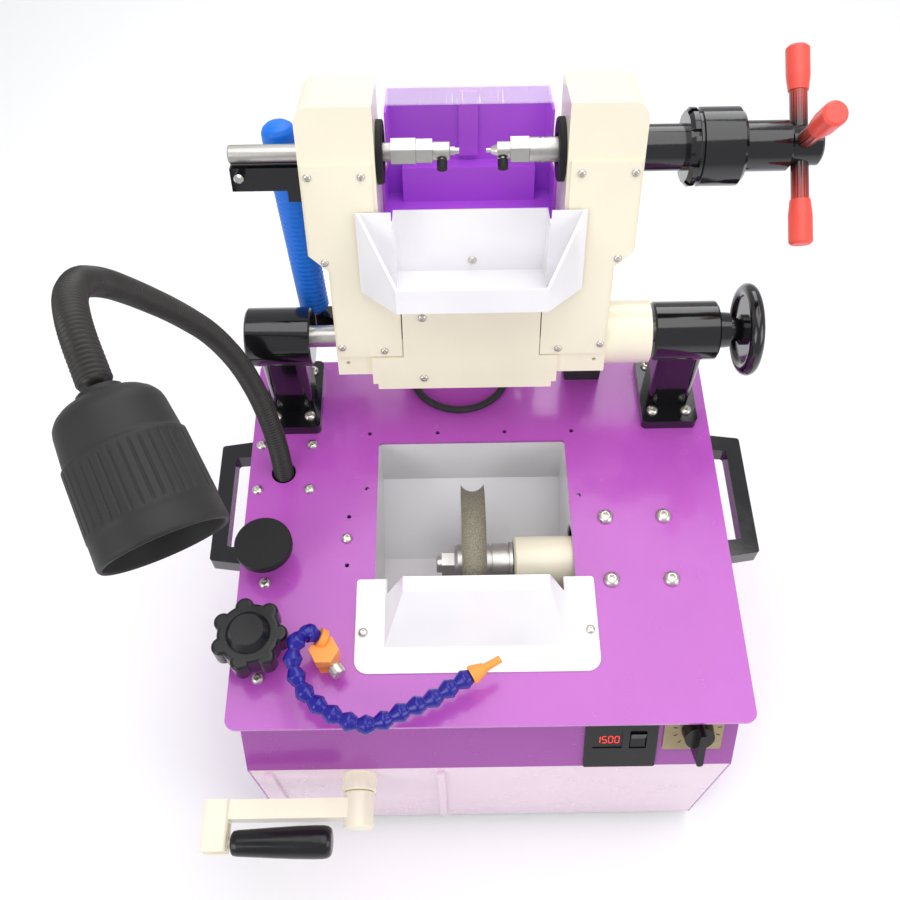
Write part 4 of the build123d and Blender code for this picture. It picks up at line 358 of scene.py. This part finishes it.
# %% Clear sheet
def clear_sheet():
    look = Look("clear_sheet", IOR=1.45, Coat_Weight=0.6, Coat_Roughness=0.03)
    scratches_at = look.node(
        "ShaderNodeMapping", None, {"Vector": look.place(), "Scale": (900.0, 14.0, 14.0)}
    )
    scratches = look.clamp(look.noise(1.0, 2, scratches_at), 0.66, 0.7)
    look.set(Base_Color=look.blend(scratches, (0.93, 0.90, 0.95), (1.0, 1.0, 1.0)))
    look.set(Alpha=0.2 + 0.25 * scratches, Roughness=0.05 + 0.3 * scratches)
    look.bump(look.noise(60, 2), 0.0001)
    return look


clear = clear_sheet()
print("clear sheet ready")

# %% [markdown]
# The wheel's rim and groove are plated with coarse grit, and its sides are bare steel. The distance from the
# axle, worked out from two coordinates, says which is which. Small bright cells on a dark khaki ground, with
# the same cells as bumps, read as grit held in nickel.

# %% Grit
wheel_low, wheel_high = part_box("grinding_wheel")
wheel_centre = (wheel_low + wheel_high) / 2
wheel_radius = (wheel_high.z - wheel_low.z) / 2


def grit():
    look = Look("grit")
    across, out_y, out_z = look.parts(look.place(tuple(wheel_centre)))
    reach = (out_y * out_y + out_z * out_z) ** 0.5
    rim = look.clamp(reach, wheel_radius - 0.0125, wheel_radius - 0.0115)
    cells = look.node("ShaderNodeTexVoronoi", None, {"Vector": look.place(), "Scale": 1500.0})
    sparkle = look.clamp(cells, 0.1, 0.6)
    worn = look.clamp(look.noise(60, 4), 0.35, 0.7)
    gritty = look.blend(sparkle, (0.60, 0.57, 0.47), (0.20, 0.18, 0.13))
    gritty = look.blend(worn * 0.5, gritty, (0.34, 0.31, 0.24))
    look.set(Base_Color=look.blend(rim, (0.52, 0.51, 0.49), gritty))
    look.set(Metallic=look.clamp(rim, 0, 1, 1.0, 0.55), Roughness=0.3 + 0.3 * rim)
    look.bump(sparkle * rim, 0.00025, 0.8)
    return look


grit_look = grit()
print("wheel radius", round(wheel_radius, 4))

# %% [markdown]
# Each solid of the frame takes one finish. A table of finish to names keeps that readable, and the loop
# fails loudly if a name is missing.

# %% Dress the frame
FINISHES = {
    purple_paint: ["case_shell"],
    violet_paint: ["splash_box"],
    front_paint: ["front_panel"],
    # Painted highlight: the deck takes a lighter copy of the case's purple.
    orchid_paint: ["deck_plate"],
    cream_paint: ["head_casting", "head_covers", "crank_bush", "crank_arm", "grip_link", "spindle_housing"],
    white_paint: ["wheel_hood", "splash_tray", "well_liner"],
    gloss_black: ["left_pedestal", "right_pedestal", "handwheel", "carry_handles", "lock_ring",
                  "stop_bracket", "tail_barrel", "tail_quill"],
    dark_casting: ["wheel_motor", "head_motor"],
    steel: ["swing_shaft", "left_spindle", "right_spindle", "right_pulley",
            "cross_shaft", "head_motor_rotor", "wheel_arbor", "wheel_clamp", "motor_rotor", "feed_screw"],
    screw_metal: ["table_screws", "head_screws", "valve_stem"],
    galvanised: ["chassis", "feed_carriage", "deck_brackets"],
    tan_plate: ["rotary_plate"],
    black_plastic: ["switch_plate", "rotary_knob", "power_rocker", "depth_knob", "mains_inlet"],
    matte_black: ["depth_stop", "spindle_housings"],
    rubber: ["rubber_buffers", "wheel_belt", "head_belts"],
    orange_plastic: ["hose_fittings"],
    clear: ["clear_lid"],
    grit_look: ["grinding_wheel"],
}


def dress(piece, *looks):
    """Gives a piece its materials, in slot order."""
    piece.data.materials.clear()
    for look in looks:
        piece.data.materials.append(look.material)


for look, names in FINISHES.items():
    for name in names:
        dress(nodes[name], look)
print("dressed", sum(len(names) for names in FINISHES.values()), "of", len(nodes))

# %% [markdown]
# Some solids hold two materials, such as steel arms with red grips. Their faces are sorted by where they
# are: a test on each face's centre picks the second slot, and numpy does it for all the faces at once.


# %% Two materials on one solid
def face_centres(piece):
    """The mean of each triangle's three corners, in metres."""
    mesh = piece.data
    corners = np.empty(len(mesh.vertices) * 3, np.float32)
    mesh.vertices.foreach_get("co", corners)
    corners = corners.reshape(-1, 3)
    index = np.empty(len(mesh.loops), np.int32)
    mesh.loops.foreach_get("vertex_index", index)
    starts = np.empty(len(mesh.polygons), np.int32)
    mesh.polygons.foreach_get("loop_start", starts)
    return (corners[index[starts]] + corners[index[starts + 1]] + corners[index[starts + 2]]) / 3


def split_finish(name, first, second, test):
    """Faces of a node where test(centres) holds take the second finish."""
    piece = nodes[name]
    dress(piece, first, second)
    chosen = test(face_centres(piece)).astype(np.int32)
    piece.data.polygons.foreach_set("material_index", chosen)
    print(name, "second finish on", int(chosen.sum()), "of", len(chosen), "faces")


# The head leans back from the swing axis. Its own frame is (across, up, out of the front).
LEAN = radians(18)
SWING_AXIS = np.array([-10.5, 152.0, 399.0]) * MM
HEAD_UP = np.array([0, sin(LEAN), cos(LEAN)])
HEAD_OUT = np.array([0, -cos(LEAN), sin(LEAN)])
HEAD_ACROSS = np.array([1.0, 0, 0])


def head_frame(points):
    """Points in the head's own frame, as three columns: across, up and out."""
    local = points - SWING_AXIS
    return local @ HEAD_ACROSS, local @ HEAD_UP, local @ HEAD_OUT


def head_point(across, up, out):
    """A place in the row frame from millimetres in the head's frame."""
    return SWING_AXIS + MM * (across * HEAD_ACROSS + up * HEAD_UP + out * HEAD_OUT)


SPINDLE_UP = 178 * MM
RED_GRIP_FROM = 43.9 * MM
COLLAR_RADIUS = 8.1 * MM
SCREW_ACROSS = 24.5 * MM
SCREW_HALF_WIDTH = 6.5 * MM
BRACKET_FACE = 8.1 * MM


def far_along_arms(points):
    across, up, out = head_frame(points)
    return np.hypot(up - SPINDLE_UP, out) > RED_GRIP_FROM


def hand_of_screw(points):
    """True on the thumbscrews, which stand out of the chucks past the collars."""
    across, up, out = head_frame(points)
    return (np.hypot(up - SPINDLE_UP, out) > COLLAR_RADIUS) & (
        np.abs(np.abs(across) - SCREW_ACROSS) < SCREW_HALF_WIDTH
    )


split_finish("tail_handle", gloss_black, red_plastic, far_along_arms)
split_finish("left_spindle", steel, matte_black, hand_of_screw)
split_finish("right_spindle", steel, matte_black, hand_of_screw)
split_finish(
    "stop_bracket", gloss_black, bright_steel, lambda points: np.abs(head_frame(points)[2]) > BRACKET_FACE
)

# %% [markdown]
# A hose, a neck and a cable are all one idea: a radius carried along a path. The path is a list of chosen
# points whose corners are rounded, then resampled at even steps. At each step a pair of directions square to
# the path is carried along without twisting, and a ring of points is laid on them.


# %% Sweeps along a path
def rounded_path(points, step, share=0.45, arc=12):
    """Corners become parabolas between points a share of each run away, resampled at even steps of length."""
    points = np.array(points, float)
    line = [points[:1]]
    for before, corner, after in zip(points, points[1:], points[2:]):
        reach = share * min(np.linalg.norm(before - corner), np.linalg.norm(after - corner))
        start = corner + (before - corner) / np.linalg.norm(before - corner) * reach
        end = corner + (after - corner) / np.linalg.norm(after - corner) * reach
        t = np.linspace(0, 1, arc)[:, None]
        line.append((1 - t) ** 2 * start + 2 * t * (1 - t) * corner + t**2 * end)
    line.append(points[-1:])
    line = np.concatenate(line)
    travelled = np.concatenate([[0], np.cumsum(np.linalg.norm(np.diff(line, axis=0), axis=1))])
    even = np.linspace(0, travelled[-1], max(2, int(round(travelled[-1] / step)) + 1))
    return np.stack([np.interp(even, travelled, line[:, axis]) for axis in range(3)], 1), even


def untwisted(line):
    """Two directions square to the path at each point, turned as little as possible from one to the next."""
    ahead = np.gradient(line, axis=0)
    ahead /= np.linalg.norm(ahead, axis=1)[:, None]
    first = np.cross(ahead[0], [0.3, 0.2, 1.0])
    sides = [first / np.linalg.norm(first)]
    for direction in ahead[1:]:
        side = sides[-1] - direction * (sides[-1] @ direction)
        sides.append(side / np.linalg.norm(side))
    sides = np.array(sides)
    return sides, np.cross(ahead, sides)


def skin(name, rings, closed_ends=True):
    """A mesh from a grid of points, rings by sides, with a point in the middle of each end."""
    count, around = rings.shape[:2]
    ring, side = np.meshgrid(np.arange(count - 1), np.arange(around), indexing="ij")
    after = (side + 1) % around
    quads = np.stack(
        [
            ring * around + side,
            ring * around + after,
            (ring + 1) * around + after,
            (ring + 1) * around + side,
        ],
        -1,
    )
    points = rings.reshape(-1, 3)
    faces = quads.reshape(-1, 4).tolist()
    if closed_ends:
        points = np.concatenate([points, rings[:1].mean(1), rings[-1:].mean(1)])
        start, end = len(points) - 2, len(points) - 1
        base = (count - 1) * around
        faces += [[start, (i + 1) % around, i] for i in range(around)]
        faces += [[end, base + i, base + (i + 1) % around] for i in range(around)]
    mesh = bpy.data.meshes.new(name)
    mesh.from_pydata(points.tolist(), [], faces)
    mesh.polygons.foreach_set("use_smooth", np.ones(len(faces), bool))
    mesh.update()
    piece = bpy.data.objects.new(name, mesh)
    bpy.context.scene.collection.objects.link(piece)
    return piece


def swept(name, line, radius, sides=28):
    """A tube whose radius may change along the line and round it: an array, rings by one or by sides."""
    first, second = untwisted(line)
    angle = np.linspace(0, tau, sides, endpoint=False)
    radius = np.broadcast_to(radius, (len(line), sides))[..., None]
    round_it = cos_sin(angle, first, second)
    return skin(name, line[:, None] + radius * round_it)


def cos_sin(angle, first, second):
    """Unit directions around each point: first times cos plus second times sin."""
    return first[:, None] * np.cos(angle)[None, :, None] + second[:, None] * np.sin(angle)[None, :, None]


print("sweeps ready")

# %% [markdown]
# The lamp stands on a corrugated steel neck that keeps the bend it is given. Each turn of the corrugation is
# about three millimetres long, so the radius is a smooth wave along the length, flattened at its crests.

# %% Lamp neck
NECK_ROUTE = [
    (-192, 68, 290), (-193, 78, 336), (-201, 93, 384), (-211, 97, 434), (-224, 90, 486), (-239, 70, 540),
    (-250, 41, 596), (-249, 4, 651), (-243, -35, 697), (-234, -68, 722), (-222, -98, 732), (-207, -130, 729),
]
NECK_RADIUS = 9.6
NECK_PITCH = 3.1
neck_line, neck_at = rounded_path(np.array(NECK_ROUTE) * MM, 0.00052)
wave = np.cos(tau * neck_at / (NECK_PITCH * MM))
neck_radius = (NECK_RADIUS - 0.75 + 0.75 * np.tanh(1.6 * wave) / np.tanh(1.6)) * MM
neck = swept("lamp_neck", neck_line, neck_radius[:, None], 24)
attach(neck, "base")
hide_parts("gooseneck")
neck_metal = plastic("neck_metal", (0.022, 0.02, 0.018), 0.4, 1800, 0.00002, 0.08, 0.4)
dress(neck, neck_metal)
print("neck", round(float(neck_at[-1]), 3), "m,", len(neck.data.polygons), "faces")

# %% [markdown]
# The coolant hose is a chain of hard plastic cups that click into each other. Each cup starts narrow, flares
# like a cone to a short belt and tapers back, so the radius follows that outline again and again.

# %% Coolant hose
HOSE_ROUTE = [
    (-145, -112, 326), (-155, -109, 332), (-163, -119, 334), (-165, -134, 332), (-161, -148, 327),
    (-153, -161, 323), (-139, -172, 320), (-122, -181, 318), (-104, -186, 318), (-87, -182, 319),
    (-70, -174, 321), (-50, -167, 322), (-33, -157, 325), (-16, -148, 327),
]
CUPS = 15
CUP_AT = [0.0, 0.08, 0.11, 0.42, 0.50, 0.62, 0.70, 0.95, 0.99, 1.0]
CUP_RADIUS = [5.0, 5.0, 5.4, 7.7, 8.2, 8.2, 7.4, 5.9, 5.2, 5.0]
hose_line, hose_at = rounded_path(np.array(HOSE_ROUTE) * MM, 0.0005)
along_cup = (hose_at / hose_at[-1] * CUPS) % 1.0
hose_radius = np.interp(along_cup, CUP_AT, CUP_RADIUS) * MM
hose = swept("jointed_hose", hose_line, hose_radius[:, None], 32)
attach(hose, "base")
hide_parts("coolant_hose")
dress(hose, hose_blue)
print("hose", round(float(hose_at[-1]), 3), "m in", CUPS, "cups")

# %% [markdown]
# One thin cable lies on the table behind the well in a single loose loop, and both of its ends go into
# glands. It is a plain round sheath, so it is the simplest sweep.

# %% Cable
CABLE_ROUTE = [
    (-68.5, 185, 297.8), (-68.5, 172, 297.8), (-59, 152, 297.8), (-42, 139, 297.8), (-20.5, 134, 297.8),
    (1, 139, 297.8), (18, 152, 297.8), (27.5, 172, 297.8), (27.5, 185, 297.8),
]
CABLE_RADIUS = 3.5
cable_line, cable_at = rounded_path(np.array(CABLE_ROUTE) * MM, 0.0012)
cable = swept("head_cable_sheath", cable_line, np.full((len(cable_line), 1), CABLE_RADIUS * MM), 20)
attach(cable, "base")
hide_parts("head_cable")
dress(cable, rubber)
print("cable", round(float(cable_at[-1]), 4), "m")

# %% [markdown]
# Turned shapes, such as the lamp's shell and the grips, are a profile spun round an axis. The profile is a
# list of places along the axis and radii, and its points can be joined straight or sampled from a formula,
# so ribs are only a wave added to the radius.


# %% Spun shapes
def spun(name, start, axis, along, radius, sides=64, twist=None):
    """Radius against distance along an axis. An optional twist adds a wave round it: array, rings by sides."""
    axis = np.array(axis, float) / np.linalg.norm(axis)
    first = np.cross(axis, [0.21, 0.13, 1.0])
    first /= np.linalg.norm(first)
    second = np.cross(axis, first)
    angle = np.linspace(0, tau, sides, endpoint=False)
    line = np.array(start, float) + np.array(along)[:, None] * axis
    spread = np.broadcast_to(np.array(radius)[:, None], (len(along), sides))
    if twist is not None:
        spread = spread + twist(np.array(along)[:, None], angle[None, :])
    frames = np.tile(first, (len(along), 1)), np.tile(second, (len(along), 1))
    return skin(name, line[:, None] + spread[..., None] * cos_sin(angle, *frames))


def dense(corners, step=0.0004):
    """Points every step along a profile of corners, so that a formula can be added between them."""
    corners = np.array(corners, float)
    travelled = np.concatenate([[0], np.cumsum(np.linalg.norm(np.diff(corners, axis=0), axis=1))])
    even = np.linspace(0, travelled[-1], int(travelled[-1] / step) + 1)
    return np.interp(even, travelled, corners[:, 0]), np.interp(even, travelled, corners[:, 1])


print("spun shapes ready")

# %% [markdown]
# The lamp's shell has a collar, a rounded shoulder, a raised band with narrow flutes that run lengthwise, and
# a smooth rim. It is one closed profile that goes out along the outside and comes back down the reflector
# inside. The flutes are a narrow dip in the radius, repeated round the axis and faded out at the band's ends.

# %% Lamp
LAMP_START = np.array(NECK_ROUTE[-1]) * MM
LAMP_AIM = np.array([0.415, -0.837, -0.35]) / np.linalg.norm([0.415, -0.837, -0.35])
LAMP_LENGTH = 90.0
LENS_DEPTH = 32.0
LENS_RADIUS = 22.2
FLUTES = 38
FLUTE_DEPTH = 0.9
FLUTE_BAND = (40.0, LAMP_LENGTH - 17.0)
outside = np.array([
    (3.6, 0.5), (3.6, 11), (4.4, 12), (6.5, 12), (7.5, 13.5), (8.2, 17), (10, 21.5), (13, 25.5), (16.5, 28),
    (20, 28.9), (37, 30.6), (38, 31.9), (LAMP_LENGTH - 15, 33.6), (LAMP_LENGTH - 14, 33.3),
    (LAMP_LENGTH - 2, 33.9), (LAMP_LENGTH - 0.6, 33.6), (LAMP_LENGTH, 32.8),
]) * MM
inside = np.array([
    (LAMP_LENGTH - 0.2, 31.6), (LAMP_LENGTH - 4, 30.9), (
        LAMP_LENGTH - 31.5, 24.4
    ), (LAMP_LENGTH - 31.8, 22.5),
    (LAMP_LENGTH - 27.8, 22.0), (LAMP_LENGTH - 26.5, 10), (LAMP_LENGTH - 26, 0.4),
]) * MM
lamp_along, lamp_radius = dense(np.concatenate([outside, inside]), 0.0013)
going_out = np.arange(len(lamp_along)) < np.argmax(lamp_along)


def flutes(along, angle):
    """A dip of set depth where the cosine of (flutes times angle) is near one, inside the band only."""
    dip = np.clip(3.2 * np.cos(FLUTES * angle) - 2.2, 0, 1)
    from_start = np.clip((along / MM - FLUTE_BAND[0]) / 1.3, 0, 1)
    from_end = np.clip((FLUTE_BAND[1] - along / MM) / 1.3, 0, 1)
    return -FLUTE_DEPTH * MM * dip * from_start * from_end * going_out[:, None]


lamp_shell = spun("lamp_shell", LAMP_START, LAMP_AIM, lamp_along, lamp_radius, FLUTES * 10, flutes)
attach(lamp_shell, "base")
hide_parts("lamp_head")


def lens_look():
    """A dim frosted lens: rings of prisms in a pale olive."""
    look = Look("lamp_lens", Roughness=0.12, IOR=1.5, Coat_Weight=1.0)
    cells = look.node("ShaderNodeTexVoronoi", None, {"Vector": look.place(), "Scale": 260.0})
    facets = look.clamp(cells, 0.1, 0.7)
    look.set(Base_Color=look.blend(facets, (0.30, 0.30, 0.16), (0.06, 0.06, 0.04)))
    look.bump(facets, 0.0006)
    return look


def in_mouth(points):
    """True inside the shell: near the axis and beyond the lens."""
    local = points - LAMP_START
    along = local @ LAMP_AIM
    reach = np.linalg.norm(local - along[:, None] * LAMP_AIM, axis=1)
    return (along > (LAMP_LENGTH - LENS_DEPTH) * MM) & (reach < LENS_RADIUS * MM)


dress(lamp_shell, lamp_black, lens_look())
mouth_quads = np.array([polygon.center for polygon in lamp_shell.data.polygons])
lamp_shell.data.polygons.foreach_set("material_index", in_mouth(mouth_quads).astype(np.int32))
print("lamp shell", len(lamp_shell.data.polygons), "faces,", FLUTES, "flutes")

# %% [markdown]
# The lever that swings the head has a blue rubber grip with fine slanting ribs. The ribs are a wave in both
# the distance along the bar and the angle round it, which makes a many-start screw.

# %% Lever grip
BAR_LOW = head_point(-146.5, -24, -52)
BAR_TOP = head_point(-162.5, 183, -52)
bar_length = np.linalg.norm(BAR_TOP - BAR_LOW) / MM
grip_corners = [
    (22, 7.2), (22, 12), (25, 14), (bar_length - 14, 15), (bar_length - 8, 14.6), (bar_length - 4, 12.6),
    (bar_length - 1, 8.6), (bar_length, 3), (bar_length, 0.3),
]
grip_along, grip_radius = dense(np.array(grip_corners) * MM, 0.0008)


def slanted_ribs(along, angle):
    """Forty starts over the length, slanted, fading out at both ends."""
    fade = np.clip((along / MM - 27) / 4, 0, 1) * np.clip((bar_length - 16 - along / MM) / 4, 0, 1)
    return -0.00045 * fade * (0.5 + 0.5 * np.cos(tau * along / (4.6 * MM) + 2 * angle))


lever_grip = spun("lever_grip", BAR_LOW, BAR_TOP - BAR_LOW, grip_along, grip_radius, 72, slanted_ribs)
bar_corners = [(0, 0.3), (0, 6), (1, 7), (22, 7), (24, 7), (24, 0.3)]
bar_along, bar_radius = dense(np.array(bar_corners) * MM, 0.002)
lever_bar = spun("lever_bar", BAR_LOW, BAR_TOP - BAR_LOW, bar_along, bar_radius, 32)
LUG_CORNERS = [(-147, -44), (-147, -60), (-112, -60), (-100, -35.1), (-118, -35.1)]
LUG_LOW, LUG_HIGH = -20, -6


def prism(name, corners, low, high, place):
    """A flat outline carried from low to high: place turns each corner and height into a point."""
    ring_low = [place(x, low, v) for x, v in corners]
    ring_high = [place(x, high, v) for x, v in corners]
    return skin(name, np.array([ring_high, ring_low]))


lever_lug = prism("lever_lug", LUG_CORNERS, LUG_LOW, LUG_HIGH, head_point)
lever_lug.data.polygons.foreach_set("use_smooth", np.zeros(len(lever_lug.data.polygons), bool))
for piece, look in ((lever_grip, lever_blue), (lever_bar, steel), (lever_lug, gloss_black)):
    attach(piece, "head")
    dress(piece, look)
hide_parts("swing_handle")
print("lever grip", round(float(bar_length), 1), "mm")

# %% [markdown]
# The folding grip on the crank is a smooth black taper, waisted near the joint and rounded at its end. The
# machined solid is a few cones; a finer profile with rounded ends takes its place.

# %% Crank grip
grip_low, grip_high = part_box("crank_grip")
crank_middle = (grip_low + grip_high) / 2
grip_span = (grip_high.x - grip_low.x) / MM
crank_corners = [
    (0.1, 4.05), (0, 8), (0.6, 9.2), (2, 10.6), (6, 11.3), (20, 12.0), (38, 13.0), (58, 13.9), (74, 14.3),
    (82, 14.2), (86, 13.5), (88.6, 11.8), (grip_span - 0.3, 9), (grip_span, 4.05), (grip_span - 0.2, 0.3),
]
crank_along, crank_radius = dense(np.array(crank_corners) * MM, 0.0006)
crank_start = (grip_low.x, crank_middle.y, crank_middle.z)
crank_grip = spun("crank_grip_body", crank_start, (1, 0, 0), crank_along, crank_radius, 64)
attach(crank_grip, "crank_grip")
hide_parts("crank_grip")
dress(crank_grip, black_plastic)
print("crank grip", round(grip_span, 1), "mm long")

# %% [markdown]
# The sloping panel has a small speed display with red figures and a plate with a ring of dial marks behind
# its pointer. Both lie on the panel, so one helper turns panel millimetres into a place: across, up the slope
# and off the surface. A figure is seven bars, and a list says which of them are lit.

# %% Panel marks
PANEL_TOP = np.array([0, -156.0, 290.0])
PANEL_SLOPE = np.array([0, 39.0, 77.0]) / np.hypot(39, 77)
PANEL_OUT = np.array([0, -PANEL_SLOPE[2], PANEL_SLOPE[1]])


def panel_point(across, up, off):
    """A place in the row frame from millimetres across the panel, up its slope and off its surface."""
    return (PANEL_TOP + across * np.array([1.0, 0, 0]) + up * PANEL_SLOPE + off * PANEL_OUT) * MM


def bars(name, outlines, low, high):
    """One mesh of flat bars: each outline is four (across, up) corners, carried from low to high."""
    box_faces = [(3, 2, 1, 0), (4, 5, 6, 7), (0, 1, 5, 4), (1, 2, 6, 5), (2, 3, 7, 6), (3, 0, 4, 7)]
    points = [panel_point(x, up, off).tolist() for bar in outlines for off in (low, high) for x, up in bar]
    faces = [[corner + 8 * index for corner in face] for index in range(len(outlines)) for face in box_faces]
    mesh = bpy.data.meshes.new(name)
    mesh.from_pydata(points, [], faces)
    mesh.update()
    piece = bpy.data.objects.new(name, mesh)
    bpy.context.scene.collection.objects.link(piece)
    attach(piece, "base")
    return piece


def bar(middle_x, middle_up, length, width, turn=0.0):
    """Four corners of a bar, run anticlockwise as seen from in front, turned about its middle."""
    corners = [(-length, -width), (length, -width), (length, width), (-length, width)]
    return [
        (middle_x + (x * cos(turn) - y * sin(turn)) / 2, middle_up + (x * sin(turn) + y * cos(turn)) / 2)
        for x, y in corners
    ]


DISPLAY_MIDDLE = (104.0, -51.0)
BAR_PLACES = [
    (0, 4.4, 0),
    (2.3, 2.2, pi / 2),
    (2.3, -2.2, pi / 2),
    (0, -4.4, 0),
    (-2.3, -2.2, pi / 2),
    (-2.3, 2.2, pi / 2),
    (0, 0, 0),
]
LIT = {"1": (1, 2), "5": (0, 2, 3, 5, 6), "0": (0, 1, 2, 3, 4, 5)}
figures = []
for place, figure in enumerate("1500"):
    for index in LIT[figure]:
        x, up, turn = BAR_PLACES[index]
        left = DISPLAY_MIDDLE[0] - 8.4 + 5.6 * place
        figures.append(bar(left + 0.8 * x, DISPLAY_MIDDLE[1] + up * 0.9, 3.0, 0.7, turn))
display_figures = bars("display_figures", figures, 1.45, 1.75)
red_glow = Look("red_glow", Emission_Strength=1.6, Roughness=0.4)
glow_drift = red_glow.clamp(red_glow.noise(900, 2), 0.3, 0.7)
red_glow.set(
    Base_Color=(0.5, 0.01, 0.01),
    Emission_Color=red_glow.blend(glow_drift, (0.8, 0.02, 0.02), (1.0, 0.06, 0.03)),
)
dress(display_figures, red_glow)

ROTARY_MIDDLE = (182.0, -40.0)
ticks = []
for step in range(11):
    angle = radians(-135 + 27 * step)
    reach = 19.6 if step % 5 else 20.4
    ticks.append(
        bar(
            ROTARY_MIDDLE[0] + reach * sin(angle),
            ROTARY_MIDDLE[1] + reach * cos(angle),
            3.4,
            0.9,
            pi / 2 - angle,
        )
    )
dial_marks = bars("dial_marks", ticks, 1.95, 2.12)
dress(dial_marks, matte_black)
print("display bars", len(figures), "dial marks", len(ticks))

# %% [markdown]
# The floor is a wide plain sheet, far enough behind the machine that its edge never shows. It is part of the
# studio, so it is staged and not carried with the object.

# %% Floor
bpy.ops.mesh.primitive_plane_add(size=12, location=(0, 0, 0))
floor = bpy.context.object
floor.name = "floor"
floor_look = Look("studio_floor", Roughness=0.75)
floor_tone = floor_look.clamp(floor_look.noise(1.3, 2), 0.3, 0.7)
floor_look.set(Base_Color=floor_look.blend(floor_tone, (0.94, 0.94, 0.945), (0.96, 0.96, 0.965)))
dress(floor, floor_look)
